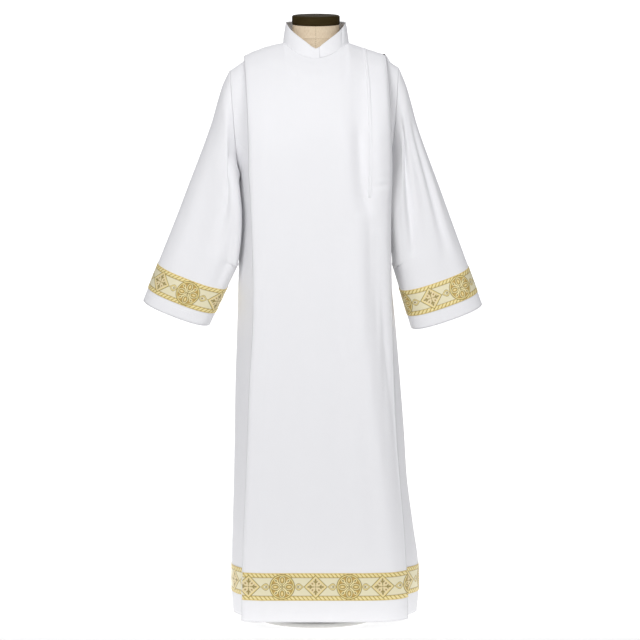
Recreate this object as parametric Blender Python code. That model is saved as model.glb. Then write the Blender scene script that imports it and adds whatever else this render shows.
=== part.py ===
"""A wrap-front alb on a limbless dress form. +X is the wearer's left, -Y the front, +Z up.

Sizes are in millimetres and become metres in add_solid. The origin is the centre of the base's
underside.
"""

from collections import namedtuple
from math import cos, pi, radians, sin

import bpy
import numpy as np

MM = 0.001

# Cloth
HALF_WALL = 1.0
SEAM_GAP = 0.4
TRIM_LIFT = 0.35
TRIM_WALL = 1.0
SECTION_POWER = 2.6
FLAT_POWER = 6.5
PLEAT_POWER = 6.5
PLEAT_SPREAD = 1.1

# The body of the robe, a row for each horizontal section, hem to underarm. x of the left side seam,
# the pleat's fold, the pressed ridge, the soft valley, the free edge and the right side seam, then
# how deep the front and back stand, and how deep the valley is.
Level = namedtuple("Level", "z side_r fold ridge valley edge side_l front back trough")
LEVELS = [
    Level(21, -200, -173, -124, 208, 216, 244, 178, 150, 0),
    Level(71, -203, -172, -124, 207, 215, 248, 178, 150, 0),
    Level(135, -203, -171, -124, 205, 213, 247, 177, 150, 1),
    Level(230, -201, -168, -122, 196, 208, 234, 176, 148, 4),
    Level(340, -198, -163, -120, 183, 199, 220, 174, 146, 7),
    Level(450, -196, -159, -118, 170, 191, 213, 172, 144, 9),
    Level(580, -194, -154, -117, 154, 185, 203, 170, 141, 11),
    Level(700, -190, -147, -117, 138, 181, 193, 168, 138, 10),
    Level(820, -187, -146, -117, 129, 178, 182, 166, 135, 9),
    Level(940, -186, -150, -118, 125, 177, 178, 163, 132, 6),
    Level(1005, -186, -153, -119, 124, 178, 176, 162, 131, 4),
    Level(1068, -186, -157, -120, 124, 180, 176, 160, 130, 2),
]

# The wrap: its pleat, its ridge and the columns of its grid.
PLEAT_STEP = 15.0
PLEAT_UNDER = 15.0
TURN = 3.0
SIDE_COLUMNS = 5
SHOULDER_COLUMNS = 6
NECK_COLUMNS = 12
RIDGE_RISE = 1.6
RIDGE_WIDTH = 6.0
VALLEY_WIDTH = 15.0
SWELL_SHARE = 0.3
SWELL_OFFSET = 30.0
EDGE_IN = 3.0
EDGE_LOW = 3.2
EDGE_HIGH = 1.2
EDGE_SPREAD = 1.12

# The narrow panel beneath the free edge.
UNDER_LAP = 45.0
UNDER_STEP = 22.0
UNDER_COLUMNS = 8
UNDER_SHOULDER = 140.0

# Shoulders and neck
NECK_X = 80.0
NECK_FRONT = 72.0
NECK_BACK = 60.0
NECK_Z = 1390.0
NECK_DROP = 47.0
NECK_BACK_RISE = 6.0
NECK_LEAN = 0.8
SHOULDER_FALL = 30.0 / 91.0
STEP_X = 171.0
STEP_DOWN = 12.0
STEP_MARGIN = 4.0
SHOULDER_ROUND = 4.0
TOP_ROWS = 12
CHEST_SHARE = 0.55
# The way a panel leaves the shoulder seam or the neckline, towards the front.
FORWARD = np.array((0.0, -46.0, -8.0))
BACKWARD = np.array((0.0, 46.0, -8.0))
NECK_OUT = 40.0
NECK_SPREAD = 8.0
NECK_FRONT_FALL = 26.0
NECK_BACK_FALL = 14.0
EDGE_STAND = 0.4

# The back: its grid and its long folds, each with x at hem and at the underarm, and depth.
BACK_SHOULDER_COLUMNS = 8
BACK_NECK_COLUMNS = 10
BACK_COLUMNS = 2 * BACK_SHOULDER_COLUMNS + BACK_NECK_COLUMNS
BACK_FOLD_WIDTH = 17.0
BACK_FOLD_FADE = 0.7
BackFold = namedtuple("BackFold", "hem top depth")
BACK_FOLDS = [BackFold(-120, -70, 9), BackFold(-45, -28, 7), BackFold(38, 24, 7), BackFold(125, 72, 9)]

# Sleeves, for the wearer's right (-1) and left (+1): the seam's ends, and the line of the outer
# fold and of the inner fold from seam to cuff.
Seam = namedtuple("Seam", "x_top z_top x_under z_under front back inward")
SEAMS = {-1: Seam(208, 1323, 187, 1068, 72, 62, 2), 1: Seam(200, 1330, 178, 1068, 54, 62, -1)}
Fold = namedtuple("Fold", "t x y z")
OUTER_FOLD = {
    -1: [
        Fold(0, 208, 0, 1323), Fold(0.06, 221, 0, 1297), Fold(0.25, 254, -3, 1187),
        Fold(0.5, 307, -6, 1044), Fold(0.75, 360, -9, 905), Fold(1, 414, -12, 772),
    ],
    1: [
        Fold(0, 200, 0, 1330), Fold(0.06, 214, 0, 1297), Fold(0.25, 245, -3, 1187),
        Fold(0.5, 297, -6, 1042), Fold(0.75, 348, -9, 900), Fold(1, 399, -12, 762),
    ],
}
INNER_FOLD = {
    -1: [
        Fold(0, 187, 0, 1068), Fold(0.05, 193, -26, 1050), Fold(0.2, 188, -56, 996),
        Fold(0.5, 186, -60, 890), Fold(0.75, 197, -54, 805), Fold(1, 253, -44, 711),
    ],
    1: [
        Fold(0, 178, 0, 1068), Fold(0.05, 186, -14, 1050), Fold(0.2, 184, -36, 996),
        Fold(0.5, 184, -40, 888), Fold(0.75, 193, -40, 800), Fold(1, 228, -38, 703),
    ],
}
SLEEVE_DEPTH = [Fold(0, 0, 71, 0), Fold(0.3, 0, 62, 0), Fold(0.7, 0, 56, 0), Fold(1, 0, 55, 0)]
RING_POINTS = 2 * TOP_ROWS
SLEEVE_ROWS = [0, 0.03, 0.08, 0.15, 0.23, 0.31, 0.39, 0.47, 0.55, 0.62]
CUFF_ROWS = [155.0, 96.5, 64.75, 33.0, 0.0]
CUFF_TILT = 15.0
CUFF_BLUNT = 0.8
SEAM_BLEND = 0.3
SEAM_TILT = 0.9
# Troughs down a sleeve: the ring point it runs along, from and to which t, and how deep.
Trough = namedtuple("Trough", "point start end depth")
TROUGH_WIDTH = 0.9
SLEEVE_TROUGHS = {
    -1: [Trough(5, 0.12, 0.6, 4), Trough(9, 0.25, 0.95, 9), Trough(17, 0.2, 0.95, 7)],
    1: [Trough(8, 0.05, 0.7, 8), Trough(5, 0.3, 0.75, 6), Trough(18, 0.2, 0.95, 7)],
}

# Collar, tuck, snap
COLLAR_POINTS = 40
COLLAR_FRONT_Z = 1363.0
COLLAR_SIDE_Z = 1438.0
COLLAR_BACK_RISE = 14.0
COLLAR_STRAIGHT = 0.8
COLLAR_CORNER = 8
COLLAR_LEAN = 0.905
COLLAR_LAP = radians(7)
COLLAR_LAP_OUT = 2.6
COLLAR_LAP_FROM = 0.85
COLLAR_LIFT = 1.2
TUCK_COLUMN = 20
TUCK_SHIFT = 5.0
TUCK_WIDTH = 6.0
TUCK_RAISE = 2.6
SNAP_RADIUS = 3.2
SNAP_HEIGHT = 2.0
SNAP_IN = 0.36
SNAP_DOWN = 0.4

# Dress form and stand. Rings of the torso: height, half width, front and back depth,
# and how pointed its sides are.
Ring = namedtuple("Ring", "z width front back point")
TORSO = [
    Ring(760, 118, 88, 90, 1), Ring(772, 140, 108, 104, 1), Ring(850, 158, 122, 112, 1),
    Ring(950, 146, 112, 102, 1), Ring(1020, 142, 112, 100, 1), Ring(1100, 154, 122, 104, 1),
    Ring(1180, 165, 120, 102, 1), Ring(1250, 173, 102, 88, 1), Ring(1290, 176, 84, 74, 1.1),
    Ring(1320, 172, 68, 62, 1.2), Ring(1340, 163, 58, 54, 1.5), Ring(1352, 142, 50, 48, 1.8),
    Ring(1372.1, 130, 40, 36, 2), Ring(1379.4, 106, 36, 34, 2), Ring(1387.2, 79, 40, 40, 1.6),
    Ring(1394, 64, 52, 52, 1), Ring(1402, 58, 52, 52, 1), Ring(1428, 57, 52, 52, 1),
    Ring(1435, 56, 51, 51, 1),
]
NECK_FORM = 57.0
NECK_DEPTH = 52.0
NECK_FROM = 1330.0
CAP_TILT = 0.27
TILT_FROM = 1402.0
TILT_OVER = 18.0
CAP = [
    Ring(1435.4, 56, 51, 51, 1), Ring(1437.4, 58, 53, 53, 1),
    Ring(1454.6, 58, 53, 53, 1), Ring(1457.6, 55, 50, 50, 1),
]
FORM_POINTS = 28
POLE_RADIUS = 14.0
BASE_RADIUS = 140.0
BASE_HEIGHT = 12.0
BASE_EDGE = 4.0
ROUND_POINTS = 40

COTTON = (0.86, 0.86, 0.88)
GALLOON = (0.72, 0.55, 0.2)
LINEN = (0.62, 0.5, 0.36)
CAP_WOOD = (0.07, 0.045, 0.03)
STEEL = (0.5, 0.5, 0.52)
SNAP_METAL = (0.25, 0.25, 0.27)


def material(name, colour, roughness, metallic=0.0):
    made = bpy.data.materials.new(name)
    made.use_nodes = True
    shader = made.node_tree.nodes["Principled BSDF"]
    shader.inputs["Base Color"].default_value = (*colour, 1)
    shader.inputs["Roughness"].default_value = roughness
    shader.inputs["Metallic"].default_value = metallic
    return made


def add_solid(name, points, faces, finish):
    """One closed mesh object, turned so that its faces point out."""
    points = np.asarray(points, float) * MM
    volume = 0.0
    for face in faces:
        for second, third in zip(face[1:-1], face[2:]):
            volume += np.dot(points[face[0]], np.cross(points[second], points[third]))
    if volume < 0:
        faces = [tuple(reversed(face)) for face in faces]
    mesh = bpy.data.meshes.new(name)
    mesh.from_pydata([tuple(point) for point in points], [], faces)
    mesh.materials.append(material(name, *finish))
    mesh.shade_smooth()
    solid = bpy.data.objects.new(name, mesh)
    bpy.context.scene.collection.objects.link(solid)


def grid_faces(rows, columns, start=0, closed=False):
    faces = []
    for row in range(rows - 1):
        for column in range(columns if closed else columns - 1):
            after = (column + 1) % columns
            low = start + row * columns
            high = low + columns
            faces.append((low + column, low + after, high + after))
            faces.append((low + column, high + after, high + column))
    return faces


def wall_faces(rows, columns, closed=False):
    """Faces of a wall whose inner grid comes first and outer grid second, with its rims."""
    offset = rows * columns
    inner = [tuple(reversed(face)) for face in grid_faces(rows, columns, 0, closed)]
    faces = inner + grid_faces(rows, columns, offset, closed)
    top = (rows - 1) * columns
    for column in range(columns if closed else columns - 1):
        after = (column + 1) % columns
        faces.append((column, after, after + offset, column + offset))
        faces.append((top + after, top + column, top + column + offset, top + after + offset))
    if not closed:
        for row in range(rows - 1):
            low = row * columns
            high = low + columns
            faces.append((high, low, low + offset, high + offset))
            low_end = high - 1
            high_end = high + columns - 1
            faces.append((low_end, high_end, high_end + offset, low_end + offset))
    return faces


def unit(vectors):
    vectors = np.asarray(vectors, float)
    return vectors / np.linalg.norm(vectors, axis=-1, keepdims=True)


def normals_of(grid, closed=False):
    """Normals of a grid of points, which point out where columns run clockwise seen from above."""
    if closed:
        across = np.roll(grid, -1, axis=1) - np.roll(grid, 1, axis=1)
    else:
        across = np.gradient(grid, axis=1)
    up = np.gradient(grid, axis=0)
    return unit(np.cross(across, up))


def add_wall(name, grid, normals, low, high, finish, closed=False):
    """A wall between two offsets of a grid of points."""
    rows, columns, _ = grid.shape
    inner = (grid + normals * low).reshape(-1, 3)
    outer = (grid + normals * high).reshape(-1, 3)
    add_solid(name, np.concatenate([inner, outer]), wall_faces(rows, columns, closed), finish)


def add_rings(name, rings, points, finish):
    """A turned or oval solid through rings, closed at both ends; the neck rises through the shoulders."""
    vertices = []
    for ring in rings:
        for index in range(points):
            turn = 2 * pi * index / points
            x = ring.width * cos(turn)
            reach = (ring.front if sin(turn) < 0 else ring.back) * abs(sin(turn)) ** ring.point
            if NECK_FROM < ring.z < CAP[0].z:
                reach = max(reach, NECK_DEPTH * max(1 - (x / NECK_FORM) ** 2, 0) ** 0.5)
            y = reach * np.sign(sin(turn))
            vertices.append((x, y, ring.z + y * CAP_TILT * min(max(ring.z - TILT_FROM, 0) / TILT_OVER, 1)))
    faces = grid_faces(len(rings), points, 0, True)
    last = (len(rings) - 1) * points
    faces.append(tuple(reversed(range(points))))
    faces.append(tuple(range(last, last + points)))
    add_solid(name, vertices, faces, finish)


def bump(value, centre, width):
    return float(np.exp(-(((value - centre) / width) ** 2)))


def along(table, t):
    """Point at t on the smooth line through a table of folds."""
    ts = [row.t for row in table]
    values = np.array([(row.x, row.y, row.z) for row in table], float)
    slopes = np.gradient(values, ts, axis=0)
    index = min(max(int(np.searchsorted(ts, t)) - 1, 0), len(ts) - 2)
    span = ts[index + 1] - ts[index]
    s = (t - ts[index]) / span
    return (
        values[index] * (2 * s**3 - 3 * s**2 + 1)
        + values[index + 1] * (3 * s**2 - 2 * s**3)
        + slopes[index] * span * (s**3 - 2 * s**2 + s)
        + slopes[index + 1] * span * (s**3 - s**2)
    )


def section_depth(x, width, power=SECTION_POWER):
    return max(1 - abs(x / width) ** power, 0.0) ** 0.5


def front_depth(x, level):
    """y of the wrap's front layer."""
    if x < 0:
        y = -level.front * section_depth(x, level.side_r * PLEAT_SPREAD, PLEAT_POWER)
    else:
        y = -level.front * section_depth(x, level.edge * EDGE_SPREAD, FLAT_POWER)
    y -= RIDGE_RISE * bump(x, level.ridge, RIDGE_WIDTH)
    y += level.trough * bump(x, level.valley, VALLEY_WIDTH)
    y -= SWELL_SHARE * level.trough * bump(x, level.valley - SWELL_OFFSET, VALLEY_WIDTH)
    return y


def shoulder_z(x, stepped=False):
    """Height of the shoulder line; the layers beneath the pleat and the free edge lie a step lower."""
    rounded = SHOULDER_ROUND * sin(pi * (-x - NECK_X) / (STEP_X - NECK_X)) if -STEP_X < x < -NECK_X else 0
    x = abs(x)
    if x <= STEP_X:
        return NECK_Z - (x - NECK_X) * SHOULDER_FALL - (STEP_DOWN if stepped else 0) + rounded
    seam = SEAMS[-1]
    low = NECK_Z - (STEP_X - NECK_X) * SHOULDER_FALL - STEP_DOWN
    return low + (x - STEP_X) * (seam.z_top - low) / (seam.x_top - STEP_X)


def neckline(turn):
    depth = NECK_FRONT if sin(turn) < 0 else NECK_BACK
    if sin(turn) < 0:
        z = NECK_Z - NECK_DROP * sin(turn) ** 2
    else:
        z = NECK_Z + NECK_BACK_RISE * sin(turn)
    return np.array((NECK_X * cos(turn), depth * sin(turn), z))


def neck_handle(turn, ahead, fall):
    """How a column reaches the neckline: straight ahead at the shoulder, outwards at the centre."""
    out = np.array((NECK_SPREAD * cos(turn), NECK_OUT * sin(turn), -fall))
    return ahead * (1 - abs(sin(turn))) + out * abs(sin(turn))


def rise(foot, top, ahead):
    """A column from the underarm section up to the shoulder or neck, over the chest or back."""
    points = []
    chest = foot + (0, 0, CHEST_SHARE * (top[2] - foot[2]))
    for row in range(1, TOP_ROWS + 1):
        s = row / TOP_ROWS
        low = foot * (1 - s) ** 3 + chest * 3 * s * (1 - s) ** 2
        points.append(low + (top + ahead) * 3 * s**2 * (1 - s) + top * s**3)
    return points


def fill(first, last, feet, tops):
    """Columns between a first and a last one, from their feet and tops, each row swept smoothly."""
    count = len(feet) - 1
    first, last = np.array(first), np.array(last)
    columns = []
    for index in range(count + 1):
        u = index / count
        column = []
        for row in range(1, TOP_ROWS + 1):
            w = row / TOP_ROWS
            sides = first[row] * (1 - u) + last[row] * u
            ends = feet[index] * (1 - w) + tops[index] * w
            corners = (feet[0] * (1 - u) + feet[-1] * u) * (1 - w) + (tops[0] * (1 - u) + tops[-1] * u) * w
            column.append(sides + ends - corners)
        columns.append(column)
    return columns


def sleeve_ring(side, t):
    """Points round a sleeve at t, from the outer fold over the front to the inner fold and back."""
    outer = along(OUTER_FOLD[side], t) * (side, 1, 1)
    inner = along(INNER_FOLD[side], t) * (side, 1, 1)
    seam = SEAMS[side]
    depth = along(SLEEVE_DEPTH, t)[1]
    centre = (outer + inner) / 2
    half = (outer - inner) / 2
    run = unit((outer - centre) @ np.array([[0, 0, -side], [0, 0, 0], [side, 0, 0]]))
    blunt = 1 - (1 - CUFF_BLUNT) * min(t / SEAM_BLEND, 1)
    ring = []
    for index in range(RING_POINTS):
        turn = 2 * pi * index / RING_POINTS
        swing = np.sign(cos(turn)) * abs(cos(turn)) ** blunt
        deep = np.sign(sin(turn)) * abs(sin(turn)) ** blunt
        seam_reach = (seam.front if deep > 0 else seam.back) / SLEEVE_DEPTH[0].y
        reach = depth * (1 + (seam_reach - 1) * max(1 - t / SEAM_BLEND, 0))
        for trough in SLEEVE_TROUGHS[side]:
            if trough.start < t < trough.end:
                fade = sin(pi * (t - trough.start) / (trough.end - trough.start)) ** 0.5
                near = bump(index, trough.point, TROUGH_WIDTH)
                reach -= trough.depth * fade * near
        point = centre + half * swing - np.array((0, reach * deep, 0))
        point[0] -= side * seam.inward * abs(deep) * max(1 - t / SEAM_BLEND, 0)
        ring.append(point + run * CUFF_TILT * deep * t**2)
    return np.array(ring)


def sleeve_grid(side):
    rows = [sleeve_ring(side, t) for t in SLEEVE_ROWS]
    cuff = sleeve_ring(side, 1)
    climb = unit(rows[-1] - cuff)
    rows += [cuff + climb * rise_by for rise_by in CUFF_ROWS]
    return np.array(rows)


def seam_normals(side):
    """Shared directions of the walls that meet at an armhole seam, so their ends lie face to face."""
    ring = sleeve_ring(side, 0)
    centre = ring.mean(axis=0)
    around = unit(ring - centre)
    return unit(around + np.array((side * SEAM_TILT, 0, 0)))


def armhole_column(side, front):
    """Seam points of a body panel from the underarm up to the shoulder, a gap in from the sleeve."""
    ring = sleeve_ring(side, 0) - np.array((side * SEAM_GAP, 0, 0))
    normals = seam_normals(side)
    step = -1 if front else 1
    order = [(TOP_ROWS + step * row) % RING_POINTS for row in range(TOP_ROWS + 1)]
    shift = np.array((0, step * SEAM_GAP / 2, 0))
    return [ring[index] + shift for index in order], [normals[index] for index in order]


def side_run(start, side, depth):
    """Section points from start out to a side seam, closer together where it turns."""
    points = []
    for index in range(SIDE_COLUMNS + 1):
        x = start + (side - start) * sin(pi / 2 * index / SIDE_COLUMNS)
        points.append((x, -depth * section_depth(x, abs(side)) - SEAM_GAP / 2))
    return points


def wrap_section(level):
    """Section of the wrap from the right side seam through the pleat to the free edge."""
    fold_y = front_depth(level.fold, level)
    under = level.fold + PLEAT_UNDER
    run = side_run(under, level.side_r, level.front - PLEAT_STEP)[::-1]
    under_y = run[-1][1]
    turn = [(under + TURN, under_y - TURN), (under, under_y - 2 * TURN)]
    edge = [(level.fold + EDGE_IN, fold_y + EDGE_LOW), (level.fold, fold_y + EDGE_HIGH)]
    columns = 2 * SHOULDER_COLUMNS + NECK_COLUMNS
    front = []
    for index in range(columns + 1):
        x = level.fold + 2 + (level.edge - level.fold - 2) * index / columns
        front.append((x, front_depth(x, level)))
    return [np.array((x, y, level.z)) for x, y in run + turn + edge + front]


def front_tops():
    """Where the wrap's front columns end: shoulder, neckline, shoulder, with a handle for each."""
    tops = []
    for index in range(SHOULDER_COLUMNS):
        x = -STEP_X + (STEP_X - NECK_X) * index / SHOULDER_COLUMNS
        tops.append((np.array((x, -SEAM_GAP / 2, shoulder_z(x))), FORWARD))
    for index in range(NECK_COLUMNS + 1):
        turn = pi + pi * index / NECK_COLUMNS
        point = neckline(turn)
        point[1] -= SEAM_GAP / 2
        tops.append((point, neck_handle(turn, FORWARD, NECK_FRONT_FALL)))
    for index in range(1, SHOULDER_COLUMNS + 1):
        x = NECK_X + (STEP_X - 3 - NECK_X) * index / SHOULDER_COLUMNS
        ahead = FORWARD * (1, 1 + EDGE_STAND * index / SHOULDER_COLUMNS, 1)
        tops.append((np.array((x, -SEAM_GAP / 2, shoulder_z(x))), ahead))
    return tops


def shoulder_points(start, end, count, y, stepped):
    points = []
    for index in range(count + 1):
        x = start + (end - start) * index / count
        points.append(np.array((x, y, shoulder_z(x, stepped and abs(x) < STEP_X + STEP_MARGIN))))
    return points


def wrap_grid():
    sections = np.array([wrap_section(level) for level in LEVELS])
    feet = sections[-1]
    seam, seam_out = armhole_column(-1, True)
    start = -SEAMS[-1].x_top + SEAM_GAP
    tops = shoulder_points(start, -STEP_X + PLEAT_UNDER, SIDE_COLUMNS, -SEAM_GAP / 2, True)
    inner = [feet[SIDE_COLUMNS]] + rise(feet[SIDE_COLUMNS], tops[-1], FORWARD)
    columns = fill(seam, inner, feet[: SIDE_COLUMNS + 1], tops)
    inner_z = shoulder_z(-STEP_X + PLEAT_UNDER, True)
    for x, z in (
        (-STEP_X + PLEAT_UNDER + TURN, inner_z + TURN), (-STEP_X + PLEAT_UNDER, inner_z + 2 * TURN),
        (EDGE_IN - 2 - STEP_X, shoulder_z(STEP_X) - EDGE_LOW), (-STEP_X - 2, shoulder_z(STEP_X) - EDGE_HIGH),
    ):
        columns.append(rise(feet[len(columns)], np.array((x, -SEAM_GAP / 2, z)), FORWARD))
    for top, ahead in front_tops():
        columns.append(rise(feet[len(columns)], top, ahead))
    grid = np.concatenate([sections, np.array(columns).transpose(1, 0, 2)])
    normals = normals_of(grid)
    normals[: len(LEVELS) - 1, 0] = (-1, 0, 0)
    normals[len(LEVELS) - 1 :, 0] = seam_out
    shoulder = list(range(1, SIDE_COLUMNS + 1)) + list(range(SIDE_COLUMNS + 5, grid.shape[1]))
    neck_start = SIDE_COLUMNS + 5 + SHOULDER_COLUMNS
    for column in shoulder:
        neck = neck_start <= column <= neck_start + NECK_COLUMNS
        if neck:
            normals[-1, column] = neck_normal(pi + pi * (column - neck_start) / NECK_COLUMNS)
        else:
            normals[-1, column] = (0, 0, 1)
    return grid, normals


def neck_normal(turn):
    """Shared direction of the walls that meet at the neckline."""
    return unit((cos(turn) * NECK_LEAN, sin(turn) * NECK_LEAN, 1))


def under_grid():
    rows = []
    for level in LEVELS:
        start = level.edge - UNDER_LAP
        points = []
        for index in range(UNDER_COLUMNS + 1):
            x = start + (level.side_l - start) * sin(pi / 2 * index / UNDER_COLUMNS)
            y = -(level.front - UNDER_STEP) * section_depth(x, level.side_l)
            points.append(np.array((x, y - SEAM_GAP / 2, level.z)))
        rows.append(points)
    feet = rows[-1]
    seam, seam_out = armhole_column(1, True)
    tops = shoulder_points(UNDER_SHOULDER, SEAMS[1].x_top - SEAM_GAP, UNDER_COLUMNS, -SEAM_GAP / 2, True)
    tops[-1] = seam[-1]
    hidden = [feet[0]] + rise(feet[0], tops[0], FORWARD)
    columns = fill(hidden, seam, feet, tops)
    grid = np.concatenate([np.array(rows), np.array(columns).transpose(1, 0, 2)])
    normals = normals_of(grid)
    normals[: len(LEVELS) - 1, -1] = (1, 0, 0)
    normals[len(LEVELS) - 1 :, -1] = seam_out
    normals[-1, :-1] = (0, 0, 1)
    return grid, normals


def back_grid():
    """The back from the left side seam round to the right one."""
    rows = []
    for level in LEVELS:
        up = (level.z - LEVELS[0].z) / (LEVELS[-1].z - LEVELS[0].z)
        points = []
        for index in range(BACK_COLUMNS + 1):
            turn = pi * index / BACK_COLUMNS
            width = level.side_l if cos(turn) > 0 else -level.side_r
            x = width * np.sign(cos(turn)) * abs(cos(turn)) ** (2 / SECTION_POWER)
            y = level.back * section_depth(x, width)
            for fold in BACK_FOLDS:
                fold_x = fold.hem + (fold.top - fold.hem) * up
                y -= fold.depth * (1 - BACK_FOLD_FADE * up) * bump(x, fold_x, BACK_FOLD_WIDTH)
            points.append(np.array((x, max(y, 0) + SEAM_GAP / 2, level.z)))
        rows.append(points)
    feet = rows[-1]
    shoulder_columns = BACK_SHOULDER_COLUMNS
    left, left_out = armhole_column(1, False)
    right, right_out = armhole_column(-1, False)
    tops = shoulder_points(SEAMS[1].x_top - SEAM_GAP, NECK_X, shoulder_columns, SEAM_GAP / 2, False)
    tops[0] = left[-1]
    neck = [feet[shoulder_columns]] + rise(feet[shoulder_columns], tops[-1], BACKWARD)
    columns = fill(left, neck, feet[: shoulder_columns + 1], tops)
    for index in range(1, BACK_NECK_COLUMNS):
        turn = pi * index / BACK_NECK_COLUMNS
        point = neckline(turn)
        point[1] += SEAM_GAP / 2
        columns.append(rise(feet[len(columns)], point, neck_handle(turn, BACKWARD, NECK_BACK_FALL)))
    tops = shoulder_points(-NECK_X, -SEAMS[-1].x_top + SEAM_GAP, shoulder_columns, SEAM_GAP / 2, False)
    tops[-1] = right[-1]
    neck = [feet[-shoulder_columns - 1]] + rise(feet[-shoulder_columns - 1], tops[0], BACKWARD)
    columns += fill(neck, right, feet[-shoulder_columns - 1 :], tops)
    grid = np.concatenate([np.array(rows), np.array(columns).transpose(1, 0, 2)])
    normals = normals_of(grid)
    normals[: len(LEVELS) - 1, 0] = (1, 0, 0)
    normals[: len(LEVELS) - 1, -1] = (-1, 0, 0)
    normals[len(LEVELS) - 1 :, 0] = left_out
    normals[len(LEVELS) - 1 :, -1] = right_out
    for column in range(1, BACK_COLUMNS):
        if shoulder_columns <= column <= shoulder_columns + BACK_NECK_COLUMNS:
            normals[-1, column] = neck_normal(pi * (column - shoulder_columns) / BACK_NECK_COLUMNS)
        else:
            normals[-1, column] = (0, 0, 1)
    return grid, normals


def collar_grid():
    """The stand band, from its upper end at the centre front round the neck to its lower end."""
    rows = []
    for share in (0.0, 0.5, 1.0):
        row = []
        for index in range(COLLAR_POINTS + 1):
            turn = -pi / 2 - COLLAR_LAP + (2 * pi + 2 * COLLAR_LAP) * index / COLLAR_POINTS
            base = neckline(turn)
            ahead = max(-sin(turn), 0)
            lapped = (index / COLLAR_POINTS - COLLAR_LAP_FROM) / (1 - COLLAR_LAP_FROM)
            out = COLLAR_LAP_OUT * max(0.0, lapped)
            lean = 1 - (1 - COLLAR_LEAN) * share
            x = NECK_X * lean * cos(turn)
            aside = abs(cos(turn))
            climb = COLLAR_STRAIGHT * aside + (1 - COLLAR_STRAIGHT) * aside**COLLAR_CORNER
            edge_z = COLLAR_FRONT_Z + (COLLAR_SIDE_Z - COLLAR_FRONT_Z) * climb
            if sin(turn) > 0:
                edge_z = COLLAR_SIDE_Z + COLLAR_BACK_RISE * sin(turn) ** 0.6
            low_z = base[2] + COLLAR_LIFT * (1 + ahead)
            point = np.array((x, base[1] * lean, low_z + (edge_z - low_z) * share))
            row.append(point + out * np.array((cos(turn), sin(turn), 0)))
        rows.append(row)
    grid = np.array(rows)
    normals = normals_of(grid)
    for index in range(COLLAR_POINTS + 1):
        turn = -pi / 2 - COLLAR_LAP + (2 * pi + 2 * COLLAR_LAP) * index / COLLAR_POINTS
        normals[0, index] = neck_normal(turn)
    return grid, normals


def robe():
    cotton = (COTTON, 0.8)
    gold = (GALLOON, 0.5)
    grid, normals = wrap_grid()
    add_wall("front_wrap", grid, normals, -HALF_WALL, HALF_WALL, cotton)
    low = HALF_WALL + TRIM_LIFT
    high = low + TRIM_WALL
    first = SIDE_COLUMNS + 5
    add_wall("hem_band_wrap", grid[1:3, first:], normals[1:3, first:], low, high, gold)
    add_wall("hem_band_side", grid[1:3, :SIDE_COLUMNS], normals[1:3, :SIDE_COLUMNS], low, high, gold)
    add_tuck(grid, normals, first, cotton)
    add_snap(grid, normals)
    grid, normals = under_grid()
    add_wall("under_front", grid, normals, -HALF_WALL, HALF_WALL, cotton)
    add_wall("hem_band_under", grid[1:3, 3:], normals[1:3, 3:], low, high, gold)
    grid, normals = back_grid()
    add_wall("back", grid, normals, -HALF_WALL, HALF_WALL, cotton)
    add_wall("hem_band_back", grid[1:3], normals[1:3], low, high, gold)
    for side, name in ((-1, "right"), (1, "left")):
        grid = sleeve_grid(side)
        normals = normals_of(grid, True)
        centre = grid.mean(axis=1, keepdims=True)
        if ((grid - centre) * normals).sum() < 0:
            normals = -normals
        normals[0] = seam_normals(side)
        add_wall("sleeve_" + name, grid, normals, -HALF_WALL, HALF_WALL, cotton, True)
        band = slice(len(SLEEVE_ROWS) + 1, len(SLEEVE_ROWS) + 4)
        add_wall("cuff_band_" + name, grid[band], normals[band], low, high, gold, True)
    grid, normals = collar_grid()
    add_wall("collar", grid, normals, -HALF_WALL, HALF_WALL, cotton)


def add_tuck(grid, normals, first, finish):
    """The stitched tuck on the wearer's left of the front, one column of the wrap wide."""
    column = first + TUCK_COLUMN
    rows = slice(len(LEVELS) - 2, len(LEVELS) + TOP_ROWS - 1)
    middle = grid[rows, column]
    across = unit(grid[rows, column + 1] - middle)
    shift = np.linspace(0, TUCK_SHIFT, len(middle))[:, None]
    strip = np.stack([middle + across * shift, middle + across * (shift + TUCK_WIDTH)], axis=1)
    out = np.repeat(normals[rows, column][:, None], 2, axis=1)
    add_wall("shoulder_tuck", strip, out, HALF_WALL + TRIM_LIFT, HALF_WALL + TRIM_LIFT + TUCK_RAISE, finish)


def add_snap(grid, normals):
    """The snap's stud on the wrap's corner at the left shoulder."""
    lower = grid[-2, -1] * (1 - SNAP_IN) + grid[-2, -2] * SNAP_IN
    upper = grid[-1, -1] * (1 - SNAP_IN) + grid[-1, -2] * SNAP_IN
    centre = upper * (1 - SNAP_DOWN) + lower * SNAP_DOWN
    out = unit(normals[-2, -2])
    across = unit(np.cross(out, (0, 1, 0)))
    along_it = np.cross(out, across)
    points = []
    base = HALF_WALL + 2 * TRIM_LIFT
    for rise_by, radius in ((base, SNAP_RADIUS), (base + SNAP_HEIGHT, SNAP_RADIUS * 0.8)):
        for index in range(12):
            turn = 2 * pi * index / 12
            points.append(centre + out * rise_by + (across * cos(turn) + along_it * sin(turn)) * radius)
    faces = grid_faces(2, 12, 0, True) + [tuple(reversed(range(12))), tuple(range(12, 24))]
    add_solid("shoulder_snap", points, faces, (SNAP_METAL, 0.3, 1.0))


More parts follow.
